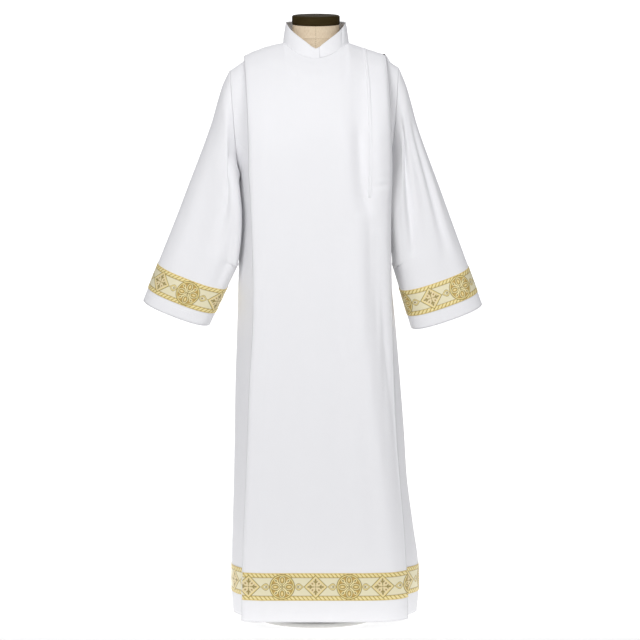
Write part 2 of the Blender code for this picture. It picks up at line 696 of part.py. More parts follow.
def dress_form():
    add_rings("form_torso", TORSO, FORM_POINTS, (LINEN, 0.85))
    add_rings("neck_cap", CAP, FORM_POINTS, (CAP_WOOD, 0.35))
    pole_low = BASE_HEIGHT + SEAM_GAP
    pole_high = TORSO[0].z - SEAM_GAP
    pole = [Ring(z, POLE_RADIUS, POLE_RADIUS, POLE_RADIUS, 1) for z in (pole_low, pole_high)]
    add_rings("stand_pole", pole, FORM_POINTS, (STEEL, 0.3, 1.0))
    inner = BASE_RADIUS - BASE_EDGE
    base = [
        Ring(0, BASE_RADIUS, BASE_RADIUS, BASE_RADIUS, 1),
        Ring(BASE_HEIGHT - BASE_EDGE, BASE_RADIUS, BASE_RADIUS, BASE_RADIUS, 1),
        Ring(BASE_HEIGHT, inner, inner, inner, 1),
    ]
    add_rings("stand_base", base, ROUND_POINTS, (STEEL, 0.35, 1.0))


for existing in list(bpy.data.objects):
    bpy.data.objects.remove(existing)
robe()
dress_form()
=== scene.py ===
"""A wrap-front alb on a limbless dress form. +X is the wearer's left, -Y the front, +Z up.

Tables are in millimetres; every mesh is in metres.
"""

from collections import namedtuple
from math import cos, pi, radians, sin

import bpy
import numpy as np
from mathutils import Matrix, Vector


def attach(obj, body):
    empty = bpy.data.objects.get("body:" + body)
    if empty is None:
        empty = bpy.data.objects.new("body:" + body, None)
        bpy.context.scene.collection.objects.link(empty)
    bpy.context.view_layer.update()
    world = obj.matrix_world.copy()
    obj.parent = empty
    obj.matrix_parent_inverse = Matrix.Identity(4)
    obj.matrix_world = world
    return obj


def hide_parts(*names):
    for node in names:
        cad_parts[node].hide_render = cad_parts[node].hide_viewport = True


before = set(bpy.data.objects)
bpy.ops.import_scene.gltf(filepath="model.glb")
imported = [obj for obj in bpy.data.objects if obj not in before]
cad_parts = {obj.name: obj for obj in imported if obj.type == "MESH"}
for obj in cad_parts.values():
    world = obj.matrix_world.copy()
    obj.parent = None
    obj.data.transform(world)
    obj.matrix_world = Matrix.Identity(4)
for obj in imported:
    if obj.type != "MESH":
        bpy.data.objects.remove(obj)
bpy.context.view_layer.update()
MM = 0.001


# Studio. A white sweep with a soft key lamp from the upper left and a weaker one from the right.
# The camera stands four metres off at hip height, level, as for a catalogue picture.
def srgb(code):
    """Linear colour of an sRGB hex value."""
    parts = [int(code[place : place + 2], 16) / 255 for place in (0, 2, 4)]
    linear = [part / 12.92 if part < 0.04045 else ((part + 0.055) / 1.055) ** 2.4 for part in parts]
    return (*linear, 1.0)


def add_node(tree, kind, settings=None, **links):
    """A node with its settings, and with each named input set to a value or linked to a socket."""
    made = tree.nodes.new(kind)
    for name, value in (settings or {}).items():
        setattr(made, name, value)
    for name, value in links.items():
        key = int(name[1:]) if name[0] == "i" and name[1:].isdigit() else name.replace("_", " ")
        if isinstance(value, bpy.types.NodeSocket):
            tree.links.new(value, made.inputs[key])
        else:
            made.inputs[key].default_value = value
    return made


def new_material(name):
    made = bpy.data.materials.new(name)
    made.use_nodes = True
    made.node_tree.nodes.clear()
    return made


def finish_material(made, shader):
    output = add_node(made.node_tree, "ShaderNodeOutputMaterial")
    made.node_tree.links.new(shader.outputs[0], output.inputs["Surface"])
    return made


CAMERA_PLACE = (0.01, -4.0, 0.72)
CAMERA_LENS = 93.0
CAMERA_SENSOR = 36.0
camera = bpy.data.objects.new("camera", bpy.data.cameras.new("camera"))
bpy.context.scene.collection.objects.link(camera)
camera.location = CAMERA_PLACE
camera.rotation_euler = (radians(90), 0, 0)
camera.data.lens = CAMERA_LENS
camera.data.sensor_width = CAMERA_SENSOR
bpy.context.scene.camera = camera

# White paper whose glow is painted light: it glows in a wedge that widens away from the camera, and more the
# farther it stands behind the robe, and beneath the robe too, so that the floor shows white where the robe's
# shadow falls. Sizes in metres.
WEDGE_TIP = 4.6
WEDGE_EDGE = (0.2, 0.3)
WEDGE_OUTSIDE = 0.1
GLOW_DEPTH = (-0.5, 1.0)
GLOW = [(0.1, 0.0), (0.14, 0.42), (0.24, 0.8), (0.73, 1.0)]
paper = new_material("studio_paper")
tree = paper.node_tree
place = add_node(tree, "ShaderNodeTexCoord").outputs["Object"]
axes = add_node(tree, "ShaderNodeSeparateXYZ", Vector=place).outputs
away = add_node(tree, "ShaderNodeMath", {"operation": "ADD"}, i0=axes["Y"], i1=WEDGE_TIP)
off = add_node(tree, "ShaderNodeMath", {"operation": "ABSOLUTE"}, i0=axes["X"])
aside = add_node(tree, "ShaderNodeMath", {"operation": "DIVIDE"}, i0=off.outputs[0], i1=away.outputs[0])
inside = add_node(
    tree, "ShaderNodeMapRange", Value=aside.outputs[0], From_Min=WEDGE_EDGE[0], From_Max=WEDGE_EDGE[1],
    To_Min=1.0, To_Max=WEDGE_OUTSIDE,
)
depth = add_node(
    tree, "ShaderNodeMapRange", Value=axes["Y"], From_Min=GLOW_DEPTH[0], From_Max=GLOW_DEPTH[1]
)
behind = add_node(tree, "ShaderNodeValToRGB", Fac=depth.outputs["Result"])
for index, (place_at, strength) in enumerate(GLOW):
    ramp = behind.color_ramp.elements
    stop = ramp[index] if index < 2 else ramp.new(place_at)
    stop.position = place_at
    stop.color = (strength, strength, strength, 1)
# Strength of the painted glow: the wedge times the glow behind.
lit = add_node(
    tree, "ShaderNodeMath", {"operation": "MULTIPLY"}, i0=inside.outputs["Result"], i1=behind.outputs["Color"]
)
shader = add_node(
    tree, "ShaderNodeBsdfPrincipled", Base_Color=srgb("CDCDCD"), Roughness=0.9, Emission_Color=srgb("FFFFFF"),
    Emission_Strength=lit.outputs[0],
)
finish_material(paper, shader)
SWEEP_FRONT = -6.0
SWEEP_BEND = 3.0
SWEEP_RADIUS = 2.0
SWEEP_TOP = 7.0
SWEEP_HALF_WIDTH = 9.0
sweep_side = [(y, 0.0) for y in (SWEEP_FRONT, SWEEP_BEND)]
sweep_side += [
    (SWEEP_BEND + SWEEP_RADIUS * sin(turn), SWEEP_RADIUS - SWEEP_RADIUS * cos(turn))
    for turn in np.linspace(0.1, pi / 2, 14)
]
sweep_side.append((SWEEP_BEND + SWEEP_RADIUS, SWEEP_TOP))
sweep_points = [(x, y, z) for y, z in sweep_side for x in (-SWEEP_HALF_WIDTH, SWEEP_HALF_WIDTH)]
sweep_mesh = bpy.data.meshes.new("studio_sweep")
sweep_mesh.from_pydata(
    sweep_points, [], [(2 * i, 2 * i + 1, 2 * i + 3, 2 * i + 2) for i in range(len(sweep_side) - 1)]
)
sweep_mesh.materials.append(paper)
sweep_mesh.shade_smooth()
sweep = bpy.data.objects.new("studio_sweep", sweep_mesh)
bpy.context.scene.collection.objects.link(sweep)

Lamp = namedtuple("Lamp", "name place target size power")
LAMPS = [
    Lamp("key_lamp", (-1.4, -3.6, 3.2), (0, 0, 1.1), 1.4, 78),
    Lamp("fill_lamp", (1.5, -4.0, 2.2), (0, 0, 1.0), 1.6, 46),
]
for lamp in LAMPS:
    light = bpy.data.lights.new(lamp.name, "AREA")
    light.size = lamp.size
    light.energy = lamp.power
    holder = bpy.data.objects.new(lamp.name, light)
    holder.location = lamp.place
    aim = np.array(lamp.target) - lamp.place
    holder.rotation_euler = Vector(aim).to_track_quat("-Z", "Y").to_euler()
    bpy.context.scene.collection.objects.link(holder)
world = bpy.data.worlds.new("studio_light")
world.use_nodes = True
world.node_tree.nodes["Background"].inputs["Color"].default_value = srgb("FBFBFF")
world.node_tree.nodes["Background"].inputs["Strength"].default_value = 0.4
bpy.context.scene.world = world
bpy.context.scene.view_settings.view_transform = "Standard"


# Base and pole. A turned steel plate with a rounded edge, powder coated, stands just inside the hem
# and carries a brushed tube that goes up into the torso.
def smooth(places, values, at):
    """Values on the smooth curve through a table's places, at any places between."""
    places = np.asarray(places, float)
    values = np.asarray(values, float)
    at = np.asarray(at, float)
    slopes = np.gradient(values, places, axis=0)
    index = np.clip(np.searchsorted(places, at) - 1, 0, len(places) - 2)
    shape = (-1,) + (1,) * (values.ndim - 1)
    span = (places[index + 1] - places[index]).reshape(shape)
    s = ((at - places[index]) / span.reshape(-1)).reshape(shape)
    return (
        values[index] * (2 * s**3 - 3 * s**2 + 1)
        + values[index + 1] * (3 * s**2 - 2 * s**3)
        + slopes[index] * span * (s**3 - 2 * s**2 + s)
        + slopes[index + 1] * span * (s**3 - s**2)
    )


def lengths(grid, axis):
    """Mean distances from the grid's first row or column to each of the others."""
    steps = np.linalg.norm(np.diff(grid, axis=axis), axis=2).mean(axis=1 - axis)
    return np.concatenate([[0], np.cumsum(steps)])


def add_grid(name, grid, material, closed=False, caps=False, wall=None):
    """A mesh through a grid of points in millimetres, with its cut laid out in metres as its UV."""
    rows, columns, _ = grid.shape
    wide = columns if closed else columns - 1
    faces = []
    spots = []
    if closed:
        across = np.append(lengths(grid, 1), 0)
        across[-1] = across[-2] + np.linalg.norm(grid[:, 0] - grid[:, -1], axis=1).mean()
    else:
        across = lengths(grid, 1)
    up = lengths(grid, 0)
    for row in range(rows - 1):
        for column in range(wide):
            after = (column + 1) % columns
            low, high = row * columns, (row + 1) * columns
            faces.append((low + column, low + after, high + after, high + column))
            spots += [
                (across[column], up[row]), (across[column + 1], up[row]),
                (across[column + 1], up[row + 1]), (across[column], up[row + 1]),
            ]
    if caps:
        faces += [tuple(reversed(range(columns))), tuple(range((rows - 1) * columns, rows * columns))]
        spots += [(0, 0)] * (2 * columns)
    mesh = bpy.data.meshes.new(name)
    mesh.from_pydata([tuple(point) for point in grid.reshape(-1, 3) * MM], [], faces)
    layer = mesh.uv_layers.new(name="cut")
    layer.data.foreach_set("uv", (np.array(spots, float) * MM).ravel())
    mesh.materials.append(material)
    mesh.shade_smooth()
    piece = bpy.data.objects.new(name, mesh)
    bpy.context.scene.collection.objects.link(piece)
    if wall:
        thick = piece.modifiers.new("wall", "SOLIDIFY")
        thick.thickness = wall * MM
        thick.offset = -1
    return piece


def add_turned(name, outline, material, points=96):
    """A turned piece through (radius, z), closed at both ends."""
    turns = np.linspace(0, 2 * pi, points, endpoint=False)
    rings = [[(radius * cos(turn), radius * sin(turn), z) for turn in turns] for radius, z in outline]
    return add_grid(name, np.array(rings), material, closed=True, caps=True)


BASE_RADIUS = 140.0
BASE_HEIGHT = 12.0
BASE_ROUND = 4.0
BASE_CHAMFER = 2.0
POLE_GAP = 0.4
POLE_RADIUS = 14.0
TORSO_BOTTOM = 760.0

# Brushed steel: fine rings from the lathe spread the gloss across them.
steel = new_material("brushed_steel")
place = add_node(steel.node_tree, "ShaderNodeTexCoord").outputs["Object"]
rings = add_node(
    steel.node_tree, "ShaderNodeTexWave", {"wave_type": "RINGS", "rings_direction": "Z"}, Vector=place,
    Scale=150.0, Distortion=0.6,
)
brush = add_node(
    steel.node_tree, "ShaderNodeBump", Height=rings.outputs["Fac"], Strength=0.12, Distance=0.0003
)
shader = add_node(
    steel.node_tree, "ShaderNodeBsdfPrincipled", Base_Color=srgb("B9BABD"), Metallic=1.0, Roughness=0.32,
    Normal=brush.outputs["Normal"],
)
finish_material(steel, shader)

# White powder coat: a fine orange peel under a soft gloss.
powder = new_material("white_powder_coat")
tree = powder.node_tree
place = add_node(tree, "ShaderNodeTexCoord").outputs["Object"]
peel = add_node(tree, "ShaderNodeTexNoise", Vector=place, Scale=900.0, Detail=1.0)
relief = add_node(tree, "ShaderNodeBump", Height=peel.outputs["Fac"], Strength=0.15, Distance=0.0002)
shader = add_node(
    tree, "ShaderNodeBsdfPrincipled", Base_Color=srgb("E9E8E4"), Roughness=0.45,
    Normal=relief.outputs["Normal"],
)
finish_material(powder, shader)

rounded = [
    (BASE_RADIUS - BASE_ROUND * (1 - cos(turn)), BASE_HEIGHT - BASE_ROUND * (1 - sin(turn)))
    for turn in np.linspace(0, pi / 2, 7)
]
underside = [(1, 0), (BASE_RADIUS - BASE_CHAMFER, 0), (BASE_RADIUS, BASE_CHAMFER)]
base = add_turned("base_plate", underside + rounded + [(1, BASE_HEIGHT)], powder)
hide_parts("stand_base")
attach(base, "root")
pole_side = [(POLE_RADIUS, z) for z in np.linspace(BASE_HEIGHT + POLE_GAP, TORSO_BOTTOM - POLE_GAP, 12)]
pole = add_turned("pole", pole_side, steel, 48)
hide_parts("stand_pole")
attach(pole, "root")

# Torso and neck. A padded form covered in natural linen, sewn up the front of the neck, whose
# shoulders carry the robe.
Ring = namedtuple("Ring", "z width front back point")
TORSO = [
    Ring(760, 118, 88, 90, 1), Ring(772, 140, 108, 104, 1), Ring(788, 144, 111, 106, 1),
    Ring(811, 149, 115, 108, 1), Ring(850, 158, 122, 112, 1),
    Ring(950, 146, 112, 102, 1), Ring(1020, 142, 112, 100, 1), Ring(1100, 154, 122, 104, 1),
    Ring(1180, 165, 120, 102, 1), Ring(1250, 173, 102, 88, 1), Ring(1290, 176, 84, 74, 1.1),
    Ring(1320, 172, 68, 62, 1.2), Ring(1340, 163, 58, 54, 1.5), Ring(1352, 142, 50, 48, 1.8),
    Ring(1372.1, 130, 40, 36, 2), Ring(1379.4, 106, 36, 34, 2), Ring(1387.2, 79, 40, 40, 1.6),
    Ring(1394, 59, 52, 52, 1), Ring(1402, 57.5, 52, 52, 1), Ring(1428, 57, 52, 52, 1),
    Ring(1435, 56, 51, 51, 1),
]
NECK_FORM = 57.0
NECK_DEPTH = 52.0
NECK_FROM = 1330.0
CAP_BOTTOM = 1435.4
CAP_TILT = 0.27
TILT_FROM = 1385.0
TILT_OVER = 50.0

# Natural linen: slubby threads about 0.7 mm apart, drawn at 1.4 mm so that they show, matt.
linen = new_material("natural_linen")
tree = linen.node_tree
cut = add_node(tree, "ShaderNodeUVMap", {"uv_map": "cut"}).outputs["UV"]
warp = add_node(tree, "ShaderNodeTexWave", {"bands_direction": "X"}, Vector=cut, Scale=224.0, Distortion=1.5)
weft = add_node(tree, "ShaderNodeTexWave", {"bands_direction": "Y"}, Vector=cut, Scale=224.0, Distortion=1.5)
threads = add_node(
    tree, "ShaderNodeMath", {"operation": "MAXIMUM"}, i0=warp.outputs["Fac"], i1=weft.outputs["Fac"]
)
slubbed = add_node(tree, "ShaderNodeMapping", Vector=cut, Scale=(1.0, 0.25, 1.0))
slub = add_node(tree, "ShaderNodeTexNoise", Vector=slubbed.outputs["Vector"], Scale=420.0, Detail=3.0)
tone = add_node(tree, "ShaderNodeValToRGB", Fac=slub.outputs["Fac"])
tone.color_ramp.elements[0].color = srgb("D8C2A2")
tone.color_ramp.elements[1].color = srgb("EEDDC3")
tone.color_ramp.elements[0].position = 0.3
tone.color_ramp.elements[1].position = 0.7
relief = add_node(tree, "ShaderNodeBump", Height=threads.outputs[0], Strength=0.5, Distance=0.0004)
# The centre seam: stitches 1.2 mm wide and 2.4 mm long, every 5 mm, in a thread darker than the
# linen. In metres, as the shader's coordinates are.
STITCH_HALF_WIDTH = 0.0006
STITCH_HALF_LENGTH = 0.0012
STITCH_HALF_PITCH = 0.0025
place = add_node(tree, "ShaderNodeTexCoord").outputs["Object"]
split = add_node(tree, "ShaderNodeSeparateXYZ", Vector=place)
aside = add_node(tree, "ShaderNodeMath", {"operation": "ABSOLUTE"}, i0=split.outputs["X"])
near = add_node(tree, "ShaderNodeMath", {"operation": "LESS_THAN"}, i0=aside.outputs[0], i1=STITCH_HALF_WIDTH)
pitch = add_node(
    tree, "ShaderNodeMath", {"operation": "PINGPONG"}, i0=split.outputs["Z"], i1=STITCH_HALF_PITCH
)
holes = add_node(
    tree, "ShaderNodeMath", {"operation": "LESS_THAN"}, i0=pitch.outputs[0], i1=STITCH_HALF_LENGTH
)
stitch = add_node(tree, "ShaderNodeMath", {"operation": "MULTIPLY"}, i0=near.outputs[0], i1=holes.outputs[0])
seam = add_node(
    tree, "ShaderNodeMix", {"data_type": "RGBA"}, i0=stitch.outputs[0], i6=tone.outputs["Color"],
    i7=srgb("AA956F"),
)
shader = add_node(
    tree, "ShaderNodeBsdfPrincipled", Base_Color=seam.outputs[2], Roughness=0.9,
    Normal=relief.outputs["Normal"],
)
finish_material(linen, shader)


def form_grid(rings, count, points):
    """Rings of the form, drawn smoothly, with the neck rising through the shoulders."""
    heights = [ring.z for ring in rings]
    at = np.concatenate([
        np.linspace(heights[i], heights[i + 1], count, endpoint=False) for i in range(len(rings) - 1)
    ] + [[heights[-1]]])
    values = smooth(heights, [ring[1:] for ring in rings], at)
    turns = np.linspace(0, 2 * pi, points, endpoint=False)
    grid = np.zeros((len(at), points, 3))
    for row, (width, front, back, point) in enumerate(values):
        x = width * np.cos(turns)
        reach = np.where(np.sin(turns) < 0, front, back) * np.abs(np.sin(turns)) ** point
        if NECK_FROM < at[row] < CAP_BOTTOM:
            neck = NECK_DEPTH * np.sqrt(np.clip(1 - (x / NECK_FORM) ** 2, 0, None))
            reach = np.maximum(reach, neck)
        y = reach * np.sign(np.sin(turns))
        tilt = CAP_TILT * min(max(at[row] - TILT_FROM, 0) / TILT_OVER, 1)
        grid[row] = np.stack([x, y, at[row] + y * tilt], axis=1)
    return grid


torso = add_grid("linen_torso", form_grid(TORSO, 4, 128), linen, closed=True, caps=True)
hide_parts("form_torso")
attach(torso, "root")

# Neck cap. A turned block of walnut, a little wider than the neck, with a softened rim. It sits on
# the neck's slanted top.
CAP = [
    Ring(1435.4, 55.5, 50.5, 50.5, 1), Ring(1436, 57.3, 52.3, 52.3, 1), Ring(1437.4, 58, 53, 53, 1),
    Ring(1446, 58, 53, 53, 1), Ring(1453.6, 58, 53, 53, 1), Ring(1455.8, 57.3, 52.3, 52.3, 1),
    Ring(1457.2, 55.2, 50.2, 50.2, 1), Ring(1457.6, 48, 44, 44, 1), Ring(1457.8, 4, 4, 4, 1),
]
# Stained walnut: dark grain that runs level through the block, under a thin matt finish.
walnut = new_material("stained_walnut")
tree = walnut.node_tree
place = add_node(tree, "ShaderNodeTexCoord").outputs["Object"]
stretch = add_node(tree, "ShaderNodeMapping", Vector=place, Scale=(1.0, 1.0, 9.0))
grain = add_node(tree, "ShaderNodeTexNoise", Vector=stretch.outputs["Vector"], Scale=45.0, Detail=5.0)
tone = add_node(tree, "ShaderNodeValToRGB", Fac=grain.outputs["Fac"])
tone.color_ramp.elements[0].color = srgb("28200F")
tone.color_ramp.elements[1].color = srgb("42371F")
shader = add_node(
    tree, "ShaderNodeBsdfPrincipled", Base_Color=tone.outputs["Color"], Roughness=0.6, Specular_IOR_Level=0.02
)
finish_material(walnut, shader)
cap = add_grid("wooden_cap", form_grid(CAP, 1, 128), walnut, closed=True, caps=True)
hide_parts("neck_cap")
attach(cap, "root")

# Back of the robe. One panel of white polyester cotton, with long soft folds that fall from the
# neck, seamed to the front at the shoulders and sides.
Level = namedtuple("Level", "z side_r fold ridge valley edge side_l front back trough")
LEVELS = [
    Level(21, -200, -173, -124, 208, 216, 244, 178, 150, 0),
    Level(71, -203, -172, -124, 207, 215, 248, 178, 150, 0),
    Level(135, -203, -171, -124, 205, 213, 247, 177, 150, 1),
    Level(230, -201, -168, -122, 196, 208, 234, 176, 148, 4),
    Level(340, -198, -163, -120, 183, 199, 220, 174, 146, 7),
    Level(450, -196, -159, -118, 170, 191, 213, 172, 144, 9),
    Level(580, -194, -154, -117, 154, 185, 203, 170, 141, 11),
    Level(700, -190, -147, -117, 138, 181, 193, 168, 138, 10),
    Level(820, -187, -146, -117, 129, 178, 182, 166, 135, 9),
    Level(940, -186, -150, -118, 125, 177, 178, 163, 132, 6),
    Level(1005, -186, -153, -119, 124, 178, 176, 162, 131, 4),
    Level(1068, -186, -157, -120, 124, 180, 176, 160, 130, 2),
]
SEAM_GAP = 0.4
SECTION_POWER = 2.6
NECK_X = 80.0
NECK_FRONT = 72.0
NECK_BACK = 60.0
NECK_Z = 1390.0
NECK_DROP = 47.0
NECK_BACK_RISE = 6.0
SHOULDER_FALL = 30.0 / 91.0
STEP_X = 171.0
STEP_DOWN = 12.0
STEP_REACH = 4.0
SHOULDER_ROUND = 4.0
TOP_ROWS = 12
CHEST_SHARE = 0.55
# The way a panel leaves the shoulder seam, or the neckline at the side and at the centre.
FORWARD = np.array((0.0, -46.0, -8.0))
BACKWARD = np.array((0.0, 46.0, -8.0))
NECK_ASIDE = 8.0
NECK_OUT = 40.0
NECK_FRONT_FALL = 26.0
NECK_BACK_FALL = 14.0
Seam = namedtuple("Seam", "x_top z_top x_under z_under front back inward")
SEAMS = {-1: Seam(208, 1323, 187, 1068, 72, 62, 2), 1: Seam(200, 1330, 178, 1068, 54, 62, -1)}
Fold = namedtuple("Fold", "t x y z")
OUTER_FOLD = {
    -1: [
        Fold(0, 208, 0, 1323), Fold(0.06, 221, 0, 1297), Fold(0.25, 254, -3, 1187),
        Fold(0.5, 307, -6, 1044), Fold(0.75, 360, -9, 905), Fold(1, 414, -12, 772),
    ],
    1: [
        Fold(0, 200, 0, 1330), Fold(0.06, 214, 0, 1297), Fold(0.25, 245, -3, 1187),
        Fold(0.5, 297, -6, 1042), Fold(0.75, 348, -9, 900), Fold(1, 399, -12, 762),
    ],
}
INNER_FOLD = {
    -1: [
        Fold(0, 187, 0, 1068), Fold(0.05, 193, -26, 1050), Fold(0.2, 188, -56, 996),
        Fold(0.5, 186, -60, 890), Fold(0.75, 197, -54, 805), Fold(1, 253, -44, 711),
    ],
    1: [
        Fold(0, 178, 0, 1068), Fold(0.05, 186, -14, 1050), Fold(0.2, 184, -36, 996),
        Fold(0.5, 184, -40, 888), Fold(0.75, 193, -40, 800), Fold(1, 228, -38, 703),
    ],
}
Depth = namedtuple("Depth", "t reach")
SLEEVE_DEPTH = [Depth(0, 71), Depth(0.3, 62), Depth(0.7, 56), Depth(1, 55)]
SLEEVE_HEAD = 0.3
CUFF_TILT = 15.0
CUFF_BLUNT = 0.8
RING_POINTS = 2 * TOP_ROWS


def unit(vectors):
    vectors = np.asarray(vectors, float)
    return vectors / np.linalg.norm(vectors, axis=-1, keepdims=True)


def bump(value, centre, width):
    return np.exp(-(((value - centre) / width) ** 2))


def section_depth(x, width, power=SECTION_POWER):
    return max(1 - abs(x / width) ** power, 0.0) ** 0.5


def shoulder_z(x, stepped=False):
    """Height of the shoulder line; the layers beneath the pleat and the free edge lie a step lower."""
    rounded = SHOULDER_ROUND * sin(pi * (-x - NECK_X) / (STEP_X - NECK_X)) if -STEP_X < x < -NECK_X else 0
    x = abs(x)
    if x <= STEP_X:
        return NECK_Z - (x - NECK_X) * SHOULDER_FALL - (STEP_DOWN if stepped else 0) + rounded
    low = NECK_Z - (STEP_X - NECK_X) * SHOULDER_FALL - STEP_DOWN
    return low + (x - STEP_X) * (SEAMS[-1].z_top - low) / (SEAMS[-1].x_top - STEP_X)


def neckline(turn):
    if sin(turn) < 0:
        return np.array((NECK_X * cos(turn), NECK_FRONT * sin(turn), NECK_Z - NECK_DROP * sin(turn) ** 2))
    return np.array((NECK_X * cos(turn), NECK_BACK * sin(turn), NECK_Z + NECK_BACK_RISE * sin(turn)))


def neck_handle(turn, ahead, fall):
    """How a column reaches the neckline: straight ahead at the shoulder, outwards at the centre."""
    out = np.array((NECK_ASIDE * cos(turn), NECK_OUT * sin(turn), -fall))
    return ahead * (1 - abs(sin(turn))) + out * abs(sin(turn))


def rise(foot, top, ahead):
    """A column from the underarm section up to the shoulder or neck, over the chest or back."""
    points = []
    chest = foot + (0, 0, CHEST_SHARE * (top[2] - foot[2]))
    for row in range(1, TOP_ROWS + 1):
        s = row / TOP_ROWS
        low = foot * (1 - s) ** 3 + chest * 3 * s * (1 - s) ** 2
        points.append(low + (top + ahead) * 3 * s**2 * (1 - s) + top * s**3)
    return points


def fill(first, last, feet, tops):
    """Columns between a first and a last one, from their feet and tops, each row swept smoothly."""
    count = len(feet) - 1
    first, last = np.array(first), np.array(last)
    columns = []
    for index in range(count + 1):
        u = index / count
        column = []
        for row in range(1, TOP_ROWS + 1):
            w = row / TOP_ROWS
            sides = first[row] * (1 - u) + last[row] * u
            ends = feet[index] * (1 - w) + tops[index] * w
            corners = (feet[0] * (1 - u) + feet[-1] * u) * (1 - w) + (tops[0] * (1 - u) + tops[-1] * u) * w
            column.append(sides + ends - corners)
        columns.append(column)
    return columns


def sleeve_ring(side, t):
    """Points round a sleeve at t, from the outer fold over the front to the inner fold and back."""
    def fold_at(table):
        return smooth([row.t for row in table], [row[1:] for row in table], [t])[0]

    outer = fold_at(OUTER_FOLD[side]) * (side, 1, 1)
    inner = fold_at(INNER_FOLD[side]) * (side, 1, 1)
    depth = fold_at(SLEEVE_DEPTH)[0]
    seam = SEAMS[side]
    centre = (outer + inner) / 2
    half = (outer - inner) / 2
    run = unit((outer - centre) @ np.array([[0, 0, -side], [0, 0, 0], [side, 0, 0]]))
    blunt = 1 - (1 - CUFF_BLUNT) * min(t / SLEEVE_HEAD, 1)
    ring = []
    for index in range(RING_POINTS):
        turn = 2 * pi * index / RING_POINTS
        swing = np.sign(cos(turn)) * abs(cos(turn)) ** blunt
        deep = np.sign(sin(turn)) * abs(sin(turn)) ** blunt
        seam_reach = (seam.front if deep > 0 else seam.back) / SLEEVE_DEPTH[0].reach
        reach = depth * (1 + (seam_reach - 1) * max(1 - t / SLEEVE_HEAD, 0))
        point = centre + half * swing - np.array((0, reach * deep, 0))
        point[0] -= side * seam.inward * abs(deep) * max(1 - t / SLEEVE_HEAD, 0)
        ring.append(point + run * CUFF_TILT * deep * t**2)
    return np.array(ring)


def armhole_column(side, front):
    """Seam points of a body panel from the underarm up to the shoulder, a gap in from the sleeve."""
    ring = sleeve_ring(side, 0) - np.array((side * SEAM_GAP, 0, 0))
    step = -1 if front else 1
    shift = np.array((0, step * SEAM_GAP / 2, 0))
    return [ring[(TOP_ROWS + step * row) % RING_POINTS] + shift for row in range(TOP_ROWS + 1)]


def shoulder_points(start, end, count, y, stepped):
    points = []
    for index in range(count + 1):
        x = start + (end - start) * index / count
        points.append(np.array((x, y, shoulder_z(x, stepped and abs(x) < STEP_X + STEP_REACH))))
    return points


def normals_of(grid, closed=False):
    if closed:
        across = np.roll(grid, -1, axis=1) - np.roll(grid, 1, axis=1)
    else:
        across = np.gradient(grid, axis=1)
    return unit(np.cross(across, np.gradient(grid, axis=0)))


def refine(grid, spacing, closed=False):
    """A finer grid on the smooth surface through a coarse one, and the coarse row and column of each."""
    if closed:
        grid = np.concatenate([grid[:, -2:], grid, grid[:, :3]], axis=1)
    numbers = []
    for axis in (0, 1):
        ends = lengths(grid, axis)
        first, last = (2, len(ends) - 3) if closed and axis == 1 else (0, len(ends) - 1)
        at = []
        number = []
        for index in range(first, last):
            count = max(int(round((ends[index + 1] - ends[index]) / spacing)), 1)
            at += list(np.linspace(ends[index], ends[index + 1], count, endpoint=False))
            number += list(np.linspace(index - first, index - first + 1, count, endpoint=False))
        if not (closed and axis == 1):
            at.append(ends[last])
            number.append(last - first)
        grid = np.moveaxis(smooth(ends, np.moveaxis(grid, axis, 0), at), 0, axis)
        numbers.append(np.array(number))
    return grid, numbers[0], numbers[1]


# A long fold is a soft trough: its x at a few heights, how wide and how deep it is.
LongFold = namedtuple("LongFold", "points width depth")
# A wrinkle is a short crease from one (x, z) to another.
Wrinkle = namedtuple("Wrinkle", "x0 z0 x1 z1 width depth")
# The low swell beside a trough or a wrinkle: its share of the depth, and how many widths off it lies.
TROUGH_SWELL = (0.4, 1.9)
WRINKLE_SWELL = (0.5, 1.7)
# How bluntly a long fold and a crease fade towards their ends.
LONG_FADE = 0.6
CREASE_FADE = 0.8


def hollow(off, swell):
    """Height across a crease, at off widths from its middle: a hollow between two low swells."""
    share, at = swell
    return share * np.exp(-((np.abs(off) - at) ** 2)) - np.exp(-(off**2))


def fold_height(x, z, folds, wrinkles=()):
    """How far the cloth stands out at (x, z): troughs with a low swell on both sides."""
    height = np.zeros_like(x)
    for fold in folds:
        places = np.array(sorted(fold.points), float)
        inside = np.clip(z, places[0, 0], places[-1, 0])
        centre = smooth(places[:, 0], places[:, 1], inside.ravel()).reshape(z.shape)
        along = np.clip((z - places[0, 0]) / (places[-1, 0] - places[0, 0]), 0, 1)
        fade = np.sin(pi * along) ** LONG_FADE
        height += fold.depth * fade * hollow((x - centre) / fold.width, TROUGH_SWELL)
    for crease in wrinkles:
        run = np.array((crease.x1 - crease.x0, crease.z1 - crease.z0), float)
        size = np.linalg.norm(run)
        run /= size
        along = ((x - crease.x0) * run[0] + (z - crease.z0) * run[1]) / size
        off = ((z - crease.z0) * run[0] - (x - crease.x0) * run[1]) / crease.width
        fade = np.sin(pi * np.clip(along, 0, 1)) ** CREASE_FADE
        height += crease.depth * fade * hollow(off, WRINKLE_SWELL)
    return height


